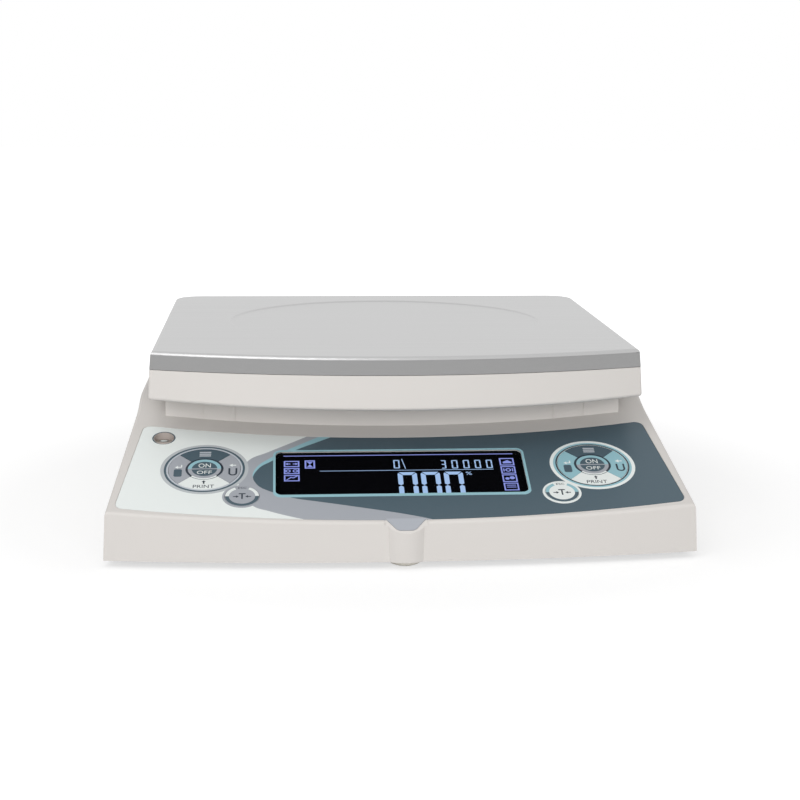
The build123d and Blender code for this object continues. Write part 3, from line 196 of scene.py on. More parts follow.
def clearPane(name, tint, rough=0.03):
    material, tree, shader = startMaterial(name)
    vector = place(tree)
    smear = noise(tree, vector, 60, 2)
    clear = tree.nodes.new("ShaderNodeBsdfTransparent")
    feed(tree, blendColour(tree, smear, tint, (1, 1, 1, 1)), clear.inputs["Color"])
    gloss = tree.nodes.new("ShaderNodeBsdfGlossy")
    feed(tree, spread(tree, smear, rough, rough + 0.04), gloss.inputs["Roughness"])
    fresnel = tree.nodes.new("ShaderNodeFresnel")
    fresnel.inputs["IOR"].default_value = 1.02
    mixed = tree.nodes.new("ShaderNodeMixShader")
    tree.links.new(fresnel.outputs[0], mixed.inputs[0])
    tree.links.new(clear.outputs[0], mixed.inputs[1])
    tree.links.new(gloss.outputs[0], mixed.inputs[2])
    output = shader.outputs[0].links[0].to_node
    tree.links.new(mixed.outputs[0], output.inputs["Surface"])
    tree.nodes.remove(shader)
    return material


def litSegments(name, colour):
    material, tree, shader = startMaterial(name)
    flicker = noise(tree, place(tree), 900, 1)
    dimmer = tuple(c * 0.93 for c in colour[:3]) + (1,)
    tone = blendColour(tree, flicker, dimmer, colour)
    shader.inputs["Base Color"].default_value = (0.02, 0.02, 0.03, 1)
    shader.inputs["Roughness"].default_value = 0.4
    shader.inputs["Specular IOR Level"].default_value = 0.1
    feed(tree, tone, shader.inputs["Emission Color"])
    shader.inputs["Emission Strength"].default_value = 1.0
    return material


tones = {
    "white": shade(234, 239, 237),
    "pale": shade(192, 198, 205),
    "light": shade(187, 192, 195),
    "grey": shade(167, 171, 178),
    "blue": shade(150, 193, 203),
    "slate": shade(78, 96, 106),
    "ink": shade(52, 60, 70),
}

# Where the printed areas of the label meet: (u, x) down each line
labelLines = {
    "whiteToGrey": (
        (-10, -55.1), (-4.8, -68.7), (0.2, -79.5), (4.8, -87.8), (28, -97), (53, -91.3),
        (61.7, -79.7), (69.8, -68.3), (78.7, -55.9),
    ),
    "greyToBlue": (
        (-10.8, 16.4), (-7.7, 8.6), (4, -31.6), (8.9, -50.4), (13.1, -65.7), (19, -77), (21.1, -80.3),
        (24, -84), (28.4, -86.9), (33.6, -88.6), (37.6, -88.9), (44.2, -87.1), (48.8, -84.5),
        (52.8, -80.8), (58.2, -75.1), (64.9, -66.8), (72.3, -56.8), (78.3, -48.6),
    ),
    "blueToSlate": (
        (-10.8, 16.4), (-7.7, 8.6), (4, -31.6), (8.9, -50.4), (13.1, -65.7), (19, -77), (21.1, -80.3),
        (24, -84), (28.4, -86.9), (33.6, -88.6), (36.3, -88.5), (42.2, -86.3), (46.8, -83.4),
        (50.1, -79.6), (53.4, -75.9), (64.8, -61.4), (72.6, -49.1), (78.1, -40.5),
    ),
}
lineReach = {"lowU": -15, "spanU": 110, "lowX": -100, "spanX": 120}  # what the curves below cover
labelRings = {
    "dialX": 117.6, "dialU": 44.1, "radii": (21.8, 22.7, 24.1, 26.2),
    "tareX": 94.8, "tareU": 15.2, "tareRadius": 11.6,
}
windowFrame = {"halfWidth": 76.7, "low": 13.5, "high": 63.5, "corner": 5.0}


def printedFilm(name):
    material, tree, shader = startMaterial(name)
    own = axes(tree)
    x = calc(tree, "MULTIPLY", own["X"], 1000)
    up = calc(tree, "MULTIPLY_ADD", own["Y"], 1000 * slopeCos, -1000 * slopeCos * panel["frontY"])
    rise = calc(tree, "MULTIPLY_ADD", own["Z"], 1000 * slopeSin, -1000 * slopeSin * panel["frontZ"])
    u = calc(tree, "ADD", up, rise)

    def lineAt(points):  # the x of a printed line at this u
        curve = tree.nodes.new("ShaderNodeFloatCurve")
        line = curve.mapping.curves[0]
        for number, (lineU, lineX) in enumerate(points):
            along = (lineU - lineReach["lowU"]) / lineReach["spanU"]
            spot = (along, (lineX - lineReach["lowX"]) / lineReach["spanX"])
            if number < 2:
                line.points[number].location = spot
            else:
                line.points.new(*spot)
        curve.mapping.update()
        share = calc(tree, "MULTIPLY_ADD", u, 1 / lineReach["spanU"], -lineReach["lowU"] / lineReach["spanU"])
        feed(tree, share, curve.inputs["Value"])
        return calc(tree, "MULTIPLY_ADD", curve.outputs[0], lineReach["spanX"], lineReach["lowX"])

    def distance(centreX, centreU):
        across = calc(tree, "SUBTRACT", calc(tree, "ABSOLUTE", x), centreX)
        along = calc(tree, "SUBTRACT", u, centreU)
        return length(tree, across, along)

    greyLine = lineAt(labelLines["whiteToGrey"])
    blueLine = lineAt(labelLines["greyToBlue"])
    slateLine = lineAt(labelLines["blueToSlate"])
    colour = blendColour(tree, calc(tree, "GREATER_THAN", x, greyLine), tones["white"], tones["grey"])
    colour = blendColour(tree, calc(tree, "GREATER_THAN", x, blueLine), colour, tones["blue"])
    colour = blendColour(tree, calc(tree, "GREATER_THAN", x, slateLine), colour, tones["slate"])
    # light blue frame round the display
    halfHeight = (windowFrame["high"] - windowFrame["low"]) / 2
    middle = (windowFrame["high"] + windowFrame["low"]) / 2
    corner = windowFrame["corner"]
    across = calc(tree, "SUBTRACT", calc(tree, "ABSOLUTE", x), windowFrame["halfWidth"] - corner)
    offMiddle = calc(tree, "ABSOLUTE", calc(tree, "SUBTRACT", u, middle))
    along = calc(tree, "SUBTRACT", offMiddle, halfHeight - corner)
    edge = length(tree, calc(tree, "MAXIMUM", across, 0), calc(tree, "MAXIMUM", along, 0))
    colour = blendColour(tree, calc(tree, "LESS_THAN", edge, corner), colour, tones["blue"])
    # rings round the dials and the small keys, in other tones at each side
    atRight = calc(tree, "GREATER_THAN", x, 0)
    dial = distance(labelRings["dialX"], labelRings["dialU"])
    line, inner, middleRing, outer = labelRings["radii"]
    sides = (
        (outer, "light", "white"), (middleRing, "slate", "blue"),
        (inner, "pale", "ink"), (line, "pale", "white"),
    )
    for radius, leftTone, rightTone in sides:
        tone = blendColour(tree, atRight, tones[leftTone], tones[rightTone])
        colour = blendColour(tree, calc(tree, "LESS_THAN", dial, radius), colour, tone)
    small = distance(labelRings["tareX"], labelRings["tareU"])
    tone = blendColour(tree, atRight, tones["grey"], tones["white"])
    colour = blendColour(tree, calc(tree, "LESS_THAN", small, labelRings["tareRadius"]), colour, tone)
    feed(tree, colour, shader.inputs["Base Color"])
    vector = place(tree)
    fine = noise(tree, vector, 2600, 2)
    feed(tree, spread(tree, fine, 0.34, 0.44), shader.inputs["Roughness"])
    shader.inputs["Specular IOR Level"].default_value = 0.25
    bump(tree, fine, 0.000012, shader)
    return material


def printed(name, colour):
    return moulded(name, colour, rough=0.4, grain=2600, depth=0.000012, gloss=0.25)


finishes = {
    "housing": moulded("housingPlastic", shade(215, 211, 207), rough=0.5, change=0.025),
    "cover": moulded("coverPlastic", shade(190, 188, 185), rough=0.55, change=0.04),
    "steel_pan": metal(
        "satinSteel", (0.545, 0.545, 0.545, 1), rough=0.36, streaks=(5, 1100, 1100),
        # painted shade: the pan's side band under this height is darkened
        rim={"height": 0.1141, "colour": (0.3, 0.3, 0.3, 1)},
    ),
    "steel": metal("zincSteel", (0.55, 0.56, 0.58, 1), rough=0.38, streaks=(300, 300, 300)),
    "castings": metal(
        "castAluminium", (0.62, 0.63, 0.64, 1), rough=0.45, streaks=(500, 500, 500), depth=0.00003,
    ),
    "rubber": moulded("paleRubber", shade(205, 201, 190), rough=0.8, grain=900, gloss=0.2),
    "wheel": moulded("wheelPlastic", shade(228, 224, 214), rough=0.5, grain=900),
    "film": printedFilm("printedFilm"),
    "key_slate": printed("slateKey", tones["slate"]),
    "key_grey": printed("greyKey", tones["grey"]),
    "key_blue": printed("blueKey", tones["blue"]),
    "key_white": printed("whiteKey", tones["white"]),
    "window": clearPane("clearWindow", (0.94, 0.96, 0.97, 1)),
    "display": moulded(
        "displayGlass", (0.003, 0.003, 0.004, 1), rough=0.7, grain=80, depth=0.000001, gloss=0.0,
    ),
    "backlight": moulded("lightGuide", shade(225, 229, 235), rough=0.4),
    "gasket": moulded("blackFoam", (0.004, 0.004, 0.005, 1), rough=0.9, grain=700, depth=0.0001, gloss=0.05),
    "board": circuitBoard("circuitBoard"),
    "dome": metal("domeSteel", (0.72, 0.72, 0.70, 1), rough=0.3),
    # painted shade: the cup's tone is the housing plastic as it looks in shade down the level's hole
    "cup": moulded("levelCupPaintedShade", shade(172, 162, 156), rough=0.4, grain=500),
    "vial": moulded(
        "levelLiquid", shade(150, 142, 132), rough=0.12, grain=120, depth=0.000002, gloss=0.6,
    ),
    "battery": moulded("batteryCase", shade(58, 60, 64), rough=0.5),
    "socket": moulded("socketPlastic", shade(34, 34, 35), rough=0.4),
    "nickel": metal("nickelPlate", (0.72, 0.70, 0.67, 1), rough=0.22, streaks=(250, 250, 250)),
}
inkFinish = printed("darkInk", tones["ink"])
for row in frame["record"]["subparts"]:
    slots = nodes[row["node"]].data.materials
    for number in range(len(slots)):
        slots[number] = finishes[row["material_slot"]]


# ---- flat printed shapes, drawn in panel millimetres ----
def addFace(work, points):
    work.faces.new([work.verts.new((px, pu, 0)) for px, pu in points])


def addBar(work, left, low, right, high):
    addFace(work, ((left, low), (right, low), (right, high), (left, high)))


def addFrame(work, left, low, right, high, line):
    addBar(work, left, low, right, low + line)
    addBar(work, left, high - line, right, high)
    addBar(work, left, low + line, left + line, high - line)
    addBar(work, right - line, low + line, right, high - line)


def addArc(work, x, u, inside, outside, start, end, steps=48):
    def spot(radius, number):
        turn = math.radians(start + (end - start) * number / steps)
        return x + radius * math.cos(turn), u + radius * math.sin(turn)

    for number in range(steps):
        if inside:
            corners = ((inside, number), (outside, number), (outside, number + 1), (inside, number + 1))
            addFace(work, [spot(*corner) for corner in corners])
        else:
            addFace(work, ((x, u), spot(outside, number), spot(outside, number + 1)))


def addArrow(work, x, u, length, head, line, turn):  # points along +x before it is turned
    half = length / 2
    outline = (
        (-half, -line / 2), (half - head, -line / 2), (half - head, -head * 0.75), (half, 0),
        (half - head, head * 0.75), (half - head, line / 2), (-half, line / 2),
    )
    c, s = math.cos(math.radians(turn)), math.sin(math.radians(turn))
    addFace(work, [(x + px * c - pu * s, u + px * s + pu * c) for px, pu in outline])


def addWords(work, words, x, u, height, width):
    curve = bpy.data.curves.new("lettering", "FONT")
    curve.body = words
    curve.align_x = "CENTER"
    holder = link(bpy.data.objects.new("lettering", curve))
    bpy.context.view_layer.update()
    shape = bpy.data.meshes.new_from_object(holder.evaluated_get(bpy.context.evaluated_depsgraph_get()))
    left, right = (pick(v.co.x for v in shape.vertices) for pick in (min, max))
    low, high = (pick(v.co.y for v in shape.vertices) for pick in (min, max))
    wide, tall = width / (right - left), height / (high - low)
    corner = (x - width / 2 - left * wide, u - height / 2 - low * tall, 0)
    shape.transform(Matrix.Translation(corner) @ Matrix.Diagonal((wide, tall, 1, 1)))
    work.from_mesh(shape)
    bpy.data.objects.remove(holder)


def roundedLoop(left, low, right, high, corner, steps=8):
    points = []
    for x, u, start in (
        (right - corner, low + corner, 270), (right - corner, high - corner, 0),
        (left + corner, high - corner, 90), (left + corner, low + corner, 180),
    ):
        for number in range(steps + 1):
            turn = math.radians(start + 90 * number / steps)
            points.append((x + corner * math.cos(turn), u + corner * math.sin(turn)))
    return points


def addRing(work, outside, inside):  # the band between two loops of as many points
    for number in range(len(outside)):
        following = (number + 1) % len(outside)
        addFace(work, (outside[number], outside[following], inside[following], inside[number]))


def flatMesh(name, level, shapes):
    work = bmesh.new()
    for draw, *values in shapes:
        draw(work, *values)
    bmesh.ops.remove_doubles(work, verts=work.verts, dist=0.002)
    work.normal_update()
    bmesh.ops.reverse_faces(work, faces=[face for face in work.faces if face.normal.z < 0])
    for corner in work.verts:
        corner.co = panelMatrix @ Vector((corner.co.x, corner.co.y, level))
    mesh = bpy.data.meshes.new(name)
    work.to_mesh(mesh)
    work.free()
    mesh.materials.clear()
    return link(bpy.data.objects.new(name, mesh))


def thicken(piece, thickness, body, slotName):
    solid = piece.modifiers.new("thickness", "SOLIDIFY")
    solid.thickness = thickness / 1000
    solid.offset = -1
    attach(piece, body)


# Each shape is one of the functions above, with its values
def flatPiece(name, level, finish, body, slotName, *shapes, thickness=0.06):
    piece = flatMesh(name, level, shapes)
    piece.data.materials.append(finish)
    thicken(piece, thickness, body, slotName)


# ---- signs on the keys ----
# Millimetres; a place is measured from the middle of the dial or of the small key
keySigns = {
    "level": 0.19,
    "dial": {"x": 117.6, "u": 44.1, "outer": 10.95, "ring": 9.9, "disc": 7.6, "line": 0.9},
    "on": {"u": 3.5, "height": 4.3, "width": 7.3},
    "off": {"u": -3.7, "height": 3.4, "width": 8.8},
    "bars": {"u": 15.8, "step": 1.9, "height": 1.1, "width": 6.9},
    "enterArrow": {"x": -15.5, "u": 2.0, "length": 4.3, "head": 1.9, "line": 0.7},
    "enterStem": {"left": -14.05, "low": 2.35, "right": -13.35, "high": 4.4},
    "enterBlock": {"left": -18.1, "low": -8.0, "right": -13.3, "high": -0.2, "corner": 1.2},
    "backArrow": {"x": 16.7, "u": 3.5, "length": 4.2, "head": 2.1, "line": 0.8},
    "cup": {"x": 16.9, "u": -4.7, "inner": 1.55, "outer": 2.65, "top": 0.35},
    "printArrow": {"x": 0, "u": -13.9, "length": 3.5, "head": 1.6, "line": 0.9},
    "print": {"u": -18.4, "height": 3.1, "width": 12.4},
    "small": {"x": 94.8, "u": 15.2, "outer": 9.85, "inner": 7.7, "gapStart": 63, "gapEnd": 117},
    "escape": {"u": 8.4, "height": 1.7, "width": 5.0},
    "tee": {"width": 4.0, "half": 2.9, "line": 0.9},
    "tareArrow": {"x": 3.6, "u": -0.4, "length": 3.4, "head": 1.6, "line": 0.7},
}
whiteFinish, greyFinish = finishes["key_white"], finishes["key_grey"]
blueFinish, slateFinish = finishes["key_blue"], finishes["key_slate"]
paleFinish = printed("paleInk", tones["pale"])


def wordsAt(x, u, words, name):
    sizes = keySigns[name]
    return addWords, words, x, u + sizes["u"], sizes["height"], sizes["width"]


def arrowAt(x, u, name, turn, side=1):
    sizes = keySigns[name]
    middle = x + side * sizes["x"], u + sizes["u"]
    return addArrow, *middle, sizes["length"], sizes["head"], sizes["line"], turn


def makeDialSigns(side, x, u):
    level, dial, bars = keySigns["level"], keySigns["dial"], keySigns["bars"]
    outer, ring, disc = dial["outer"], dial["ring"], dial["disc"]
    # hub: a dark ring with a white quarter, a ring of two tones, and the words for on and off
    hub = "key_%s_power" % side
    for name, finish, slotName, values in (
        ("rim", inkFinish, "key_slate", (ring, outer, -45, 225, 90)),
        ("rim_quarter", whiteFinish, "key_white", (ring, outer, 225, 315, 30)),
        ("upper_ring", blueFinish, "key_blue", (disc, ring, 0, 180, 60)),
        ("lower_ring", greyFinish, "key_grey", (disc, ring, 180, 360, 60)),
    ):
        flatPiece("%s_%s" % (hub, name), level, finish, hub, slotName, (addArc, x, u, *values))
    flatPiece(
        hub + "_words", level, whiteFinish, hub, "key_white",
        wordsAt(x, u, "ON", "on"), wordsAt(x, u, "OFF", "off"),
    )
    half = dial["line"] / 2
    flatPiece(
        hub + "_line", level, greyFinish, hub, "key_grey", (addBar, x - disc, u - half, x + disc, u + half),
    )
    # top sector: three bars
    halfWidth, half = bars["width"] / 2, bars["height"] / 2
    middles = [u + bars["u"] + step * bars["step"] for step in (-1, 0, 1)]
    key = "key_%s_menu" % side
    flatPiece(
        key + "_bars", level, paleFinish, key, "key_white",
        *[(addBar, x - halfWidth, middle - half, x + halfWidth, middle + half) for middle in middles],
    )
    # left sector: enter arrow over a filled block
    key, stem, block = "key_%s_enter" % side, keySigns["enterStem"], keySigns["enterBlock"]
    flatPiece(
        key + "_arrow", level, whiteFinish, key, "key_white", arrowAt(x, u, "enterArrow", 180),
        (addBar, x + stem["left"], u + stem["low"], x + stem["right"], u + stem["high"]),
    )
    loop = roundedLoop(
        x + block["left"], u + block["low"], x + block["right"], u + block["high"], block["corner"],
    )
    flatPiece(key + "_block", level, slateFinish, key, "key_slate", (addFace, loop))
    # right sector: back arrow over a cup with a round bottom
    key, cup = "key_%s_units" % side, keySigns["cup"]
    cupX, cupU, inner, outer, top = x + cup["x"], u + cup["u"], cup["inner"], cup["outer"], u + cup["top"]
    flatPiece(key + "_arrow", level, whiteFinish, key, "key_white", arrowAt(x, u, "backArrow", 180))
    flatPiece(
        key + "_cup", level, inkFinish, key, "key_slate", (addArc, cupX, cupU, inner, outer, 180, 360, 24),
        (addBar, cupX - outer, cupU, cupX - inner, top), (addBar, cupX + inner, cupU, cupX + outer, top),
    )
    # bottom sector: up arrow over the word
    key = "key_%s_print" % side
    flatPiece(
        key + "_sign", level, inkFinish, key, "key_slate",
        arrowAt(x, u, "printArrow", 90), wordsAt(x, u, "PRINT", "print"),
    )


# A ring of two tones, open at the top for the escape word, round the tare sign
def makeSmallKeySigns(side, x, u, upperFinish):
    key, level, small, tee = "key_%s_tare" % side, keySigns["level"], keySigns["small"], keySigns["tee"]
    inner, outer = small["inner"], small["outer"]
    flatPiece(
        key + "_upper_ring", level, upperFinish, key, "key_blue",
        (addArc, x, u, inner, outer, 0, small["gapStart"], 24),
        (addArc, x, u, inner, outer, small["gapEnd"], 180, 24),
    )
    flatPiece(
        key + "_lower_ring", level, slateFinish, key, "key_slate", (addArc, x, u, inner, outer, 180, 360, 60),
    )
    flatPiece(key + "_escape", level, inkFinish, key, "key_slate", wordsAt(x, u, "ESC", "escape"))
    halfWidth, halfLine, half = tee["width"] / 2, tee["line"] / 2, tee["half"]
    flatPiece(
        key + "_sign", level, inkFinish, key, "key_slate",
        (addBar, x - halfLine, u - half, x + halfLine, u + half - tee["line"]),
        (addBar, x - halfWidth, u + half - tee["line"], x + halfWidth, u + half),
        arrowAt(x, u, "tareArrow", 0, -1), arrowAt(x, u, "tareArrow", 180),
    )


for side, sign, upperFinish in (("left", -1, whiteFinish), ("right", 1, blueFinish)):
    makeDialSigns(side, sign * keySigns["dial"]["x"], keySigns["dial"]["u"])
    makeSmallKeySigns(side, sign * keySigns["small"]["x"], keySigns["small"]["u"], upperFinish)
print("key signs made")


# ---- a row of copies, by geometry nodes ----
def makeRowTree():
    tree = bpy.data.node_groups.new("rowOfCopies", "GeometryNodeTree")
    face = tree.interface
    face.new_socket("Geometry", in_out="INPUT", socket_type="NodeSocketGeometry")
    count = face.new_socket("Count", in_out="INPUT", socket_type="NodeSocketInt")
    step = face.new_socket("Step", in_out="INPUT", socket_type="NodeSocketVector")
    finish = face.new_socket("Finish", in_out="INPUT", socket_type="NodeSocketMaterial")
    face.new_socket("Geometry", in_out="OUTPUT", socket_type="NodeSocketGeometry")
    start, end = tree.nodes.new("NodeGroupInput"), tree.nodes.new("NodeGroupOutput")
    line = tree.nodes.new("GeometryNodeMeshLine")
    copies = tree.nodes.new("GeometryNodeInstanceOnPoints")
    real = tree.nodes.new("GeometryNodeRealizeInstances")
    paint = tree.nodes.new("GeometryNodeSetMaterial")
    tree.links.new(start.outputs["Count"], line.inputs["Count"])
    tree.links.new(start.outputs["Step"], line.inputs["Offset"])
    tree.links.new(line.outputs[0], copies.inputs["Points"])
    tree.links.new(start.outputs["Geometry"], copies.inputs["Instance"])
    tree.links.new(copies.outputs[0], real.inputs[0])
    tree.links.new(real.outputs[0], paint.inputs["Geometry"])
    tree.links.new(start.outputs["Finish"], paint.inputs["Material"])
    tree.links.new(paint.outputs[0], end.inputs[0])
    return tree, {"count": count.identifier, "step": step.identifier, "finish": finish.identifier}


def settle(piece, modifier):  # keeps the modifier's result as a plain mesh
    bpy.context.view_layer.update()
    mesh = bpy.data.meshes.new_from_object(piece.evaluated_get(bpy.context.evaluated_depsgraph_get()))
    piece.modifiers.remove(modifier)
    piece.data = mesh


rowTree, rowSockets = makeRowTree()


def rowPiece(name, level, finish, body, slotName, count, step, *shapes, thickness=0.06):
    piece = flatMesh(name, level, shapes)
    row = piece.modifiers.new("row", "NODES")
    row.node_group = rowTree
    row[rowSockets["count"]] = count
    row[rowSockets["step"]] = tuple(panelMatrix.to_3x3() @ Vector((*step, 0)))
    row[rowSockets["finish"]] = finish
    settle(piece, row)
    thicken(piece, thickness, body, slotName)


# ---- what the display shows ----
# Millimetres on the panel; a digit is measured from its top left corner
display = {
    "level": -3.95, "boxLine": 0.9,
    "big": {"width": 11.7, "height": 28.0, "line": 3.0}, "bigPlace": (-1.8, 44.1), "bigStep": 14.0,
    "small": {"width": 3.8, "height": 9.0, "line": 0.85}, "smallPlace": (31.9, 56.6), "smallStep": 7.1,
    "narrow": {"width": 3.3, "height": 9.0, "line": 0.85}, "threePlace": (25.2, 56.6),
    "zeroPlace": (-3.7, 57.4), "leftStep": 7.6, "rightStep": 8.9,
}
litFinish = litSegments("litSegments", shade(165, 195, 235))
iconFinish = litSegments("litIcons", shade(140, 150, 225))


def addDigit(work, place, size, bars):  # seven bars with slanted ends
    left, top = place
    line = size["line"]
    middle, low, right = top - size["height"] / 2, top - size["height"], left + size["width"]
    gap = line * 0.08
    leftEnd, rightEnd = left + 0.3 * line, right - 0.3 * line
    leftInner, rightInner = left + line + gap, right - line - gap
    shapes = {
        "top": ((leftEnd, top), (rightEnd, top), (rightInner, top - line), (leftInner, top - line)),
        "bottom": ((leftInner, low + line), (rightInner, low + line), (rightEnd, low), (leftEnd, low)),
        "middle": (
            (left + 0.55 * line, middle), (leftInner, middle + line / 2), (rightInner, middle + line / 2),
            (right - 0.55 * line, middle), (rightInner, middle - line / 2), (leftInner, middle - line / 2),
        ),
    }
    for name, edge, way in (("Left", left, 1), ("Right", right, -1)):
        for half, end, updown in (("upper", top, -1), ("lower", low, 1)):
            shapes[half + name] = (
                (edge, end + updown * 0.62 * line),
                (edge + way * 0.2 * line, end + updown * 0.3 * line),
                (edge + way * line, end + updown * (line + gap)),
                (edge + way * line, middle - updown * (0.5 * line)),
                (edge + way * 0.5 * line, middle - updown * gap),
                (edge, middle - updown * (0.5 * line)),
            )
    for bar in bars:
        addFace(work, shapes[bar])


zero = ("top", "bottom", "upperLeft", "upperRight", "lowerLeft", "lowerRight")
three = ("top", "bottom", "middle", "upperRight", "lowerRight")
level = display["level"]
rowPiece(
    "display_weight", level, litFinish, "base", "backlight", 3, (display["bigStep"], 0),
    (addDigit, display["bigPlace"], display["big"], zero),
)
rowPiece(
    "display_capacity", level, litFinish, "base", "backlight", 4, (display["smallStep"], 0),
    (addDigit, display["smallPlace"], display["small"], zero),
)
slantedLine = ((1.35, 58.5), (1.85, 58.5), (3.65, 48.0), (3.15, 48.0))
flatPiece(
    "display_reading", level, litFinish, "base", "backlight",
    (addDigit, display["threePlace"], display["narrow"], three),
    (addDigit, display["zeroPlace"], display["small"], zero),
    (addFace, slantedLine),
    (addBar, -48.7, 46.1, 57.2, 46.5),
    (addWords, "%", 41.6, 42.2, 3.3, 3.6),
)
# the hourglass and what the boxes hold, from the left box at the top to the right box at the bottom
hourglass = {
    "upper": ((-56.3, 56.5), (-54.55, 53.7), (-52.8, 56.5)),
    "lower": ((-56.3, 50.9), (-52.8, 50.9), (-54.55, 53.7)),
}
graph = (
    (-69, 37.5), (-68.4, 37.2), (-65.9, 39.6), (-64.5, 39.0),
    (-62, 41.3), (-62.6, 41.7), (-64.7, 39.9), (-66.1, 40.5),
)
house = ((63.6, 52.5), (69.0, 52.5), (69.0, 54.1), (66.5, 55.9), (63.6, 54.1))
flatPiece(
    "display_signs", level, iconFinish, "base", "backlight",
    (addFrame, -57.7, 49.3, -51.4, 58.0, 1.0), (addFace, hourglass["upper"]), (addFace, hourglass["lower"]),
    (addArrow, -67.9, 54.4, 3.2, 1.6, 0.8, 180), (addArrow, -63.3, 54.4, 3.2, 1.6, 0.8, 0),
    (addArc, -67.8, 46.8, 0.9, 1.6, 0, 360, 20), (addArc, -63.4, 46.8, 0.9, 1.6, 0, 360, 20),
    (addFace, graph), (addFace, house),
    (addArc, 66.1, 45.3, 1.0, 1.8, 0, 360, 20),
    (addBar, 63.1, 43.7, 63.8, 46.9), (addBar, 68.4, 43.7, 69.1, 46.9),
    (addArc, 64.6, 36.1, 0, 1.3, 0, 360, 16), (addArc, 67.6, 36.8, 0, 1.6, 0, 360, 16),
    (addBar, 63.3, 26.6, 69.0, 27.3), (addBar, 63.3, 28.6, 69.0, 29.3),
)
rowPiece(
    "display_left_boxes", level, iconFinish, "base", "backlight", 3, (0, -display["leftStep"]),
    (addFrame, -70.3, 51.1, -60.9, 57.6, display["boxLine"]),
)
rowPiece(
    "display_right_boxes", level, iconFinish, "base", "backlight", 4, (0, -display["rightStep"]),
    (addFrame, 61.6, 50.2, 70.6, 58.2, display["boxLine"]),
)
# black liner round the opening, and a glowing pale bar along the glass's far wall, a painted highlight on the
# edge of the glass
liner = {
    "halfWidth": 75.3, "low": 16.2, "high": 62.6, "corner": 4.0, "line": 0.25, "top": -1.38, "depth": 2.55,
}
edge = {"halfWidth": 70.5, "low": 62.05, "high": 62.33, "top": -3.3, "depth": 0.3}
loops = [
    roundedLoop(
        inset - liner["halfWidth"], liner["low"] + inset, liner["halfWidth"] - inset, liner["high"] - inset,
        liner["corner"] - inset,
    )
    for inset in (0, liner["line"])
]
flatPiece(
    "display_liner", liner["top"], finishes["gasket"], "base", "gasket",
    (addRing, *loops), thickness=liner["depth"],
)
# painted highlight: a glowing line for the light caught on the glass edge
flatPiece(
    "display_edge_glint", edge["top"], iconFinish, "base", "backlight",
    (addBar, -edge["halfWidth"], edge["low"], edge["halfWidth"], edge["high"]), thickness=edge["depth"],
)
print("display made")


# ---- level ----
# The bubble and its ring are (radius, height over the vial) in millimetres
spiritLevel = {
    "x": -143.5, "u": 78.5, "steps": 48,
    "ring": ((2.5, 0.0), (2.5, 0.05), (2.9, 0.05), (2.9, 0.0)),
    "bubble": ((0, 0.02), (1.2, 0.02), (1.9, 0.05), (2.1, 0.12), (1.7, 0.2), (0.9, 0.24), (0, 0.25)),
    "sleeveOuter": 6.28, "sleeveInner": 5.9, "sleeveSteps": 64, "sleeveUnder": 0.04,
    "rimInner": 6.35, "rimOuter": 7.0, "rimLevel": 0.02, "rimThickness": 0.3,
}
vialLow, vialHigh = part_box("level_vial")
vialX, vialY = (vialLow.x + vialHigh.x) / 2, (vialLow.y + vialHigh.y) / 2
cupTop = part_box("level_cup")[1].z


def circle(radius, steps, heightAt):
    points = []
    for number in range(steps):
        turn = 2 * math.pi * number / steps
        x, y = vialX + radius / 1000 * math.cos(turn), vialY + radius / 1000 * math.sin(turn)
        points.append((x, y, heightAt(y)))
    return points


def panelHeight(y):
    rise = (y - panel["frontY"]) * math.tan(panel["angle"])
    return panel["frontZ"] + rise - spiritLevel["sleeveUnder"] / 1000


# A surface through rings of points, closed into a loop unless it starts and ends in one point
def ringPiece(name, loops, finish, smooth):
    work = bmesh.new()
    rings = [[work.verts.new(point) for point in loop] for loop in loops]
    steps = max(len(ring) for ring in rings)
    pairs = list(zip(rings, rings[1:]))
    if len(rings[0]) > 1:
        pairs.append((rings[-1], rings[0]))
    for lower, upper in pairs:
        for k in range(steps):
            spots = ((lower, k), (lower, k + 1), (upper, k + 1), (upper, k))
            corners = [ring[number % len(ring)] for ring, number in spots]
            work.faces.new(list(dict.fromkeys(corners)))
    bmesh.ops.recalc_face_normals(work, faces=work.faces)
    mesh = bpy.data.meshes.new(name)
    work.to_mesh(mesh)
    work.free()
    mesh.materials.append(finish)
    for polygon in mesh.polygons:
        polygon.use_smooth = smooth
    piece = link(bpy.data.objects.new(name, mesh))
    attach(piece, "base")


def turnedLoops(profile):
    loops = []
    for radius, height in profile:
        high = vialHigh.z + height / 1000
        if radius:
            loops.append(circle(radius, spiritLevel["steps"], lambda y, high=high: high))
        else:
            loops.append([(vialX, vialY, high)])
    return loops


ringPiece("level_ring", turnedLoops(spiritLevel["ring"]), finishes["key_slate"], True)
ringPiece("level_bubble", turnedLoops(spiritLevel["bubble"]), finishes["key_white"], True)
# a sleeve over the cup up to the panel, in the cup's tone with its painted shade, and a dark rim in the
# film's hole
ringPiece(
    "level_sleeve",
    [
        circle(spiritLevel[radius], spiritLevel["sleeveSteps"], heightAt)
        for radius, heightAt in (
            ("sleeveOuter", lambda y: cupTop), ("sleeveOuter", panelHeight),
            ("sleeveInner", panelHeight), ("sleeveInner", lambda y: cupTop),
        )
    ],
    finishes["cup"], False,
)
rim = (spiritLevel["rimInner"], spiritLevel["rimOuter"], 0, 360, 72)
flatPiece(
    "level_rim", spiritLevel["rimLevel"], slateFinish, "base", "key_slate",
    (addArc, spiritLevel["x"], spiritLevel["u"], *rim), thickness=spiritLevel["rimThickness"],
)
print("level made")


# ---- painted shade: near-black crosses for the cross recesses in the screw heads underneath ----
crossSizes = {"length": 0.0032, "width": 0.0008, "depth": 0.0001}
screws = {
    "housingX": 149, "housingY": (-144, -4, 167), "housingHeight": 4.48,
    "doorX": 91, "doorStep": 54, "doorY": 45, "doorHeight": 4.18, "doorScale": 0.7,
}


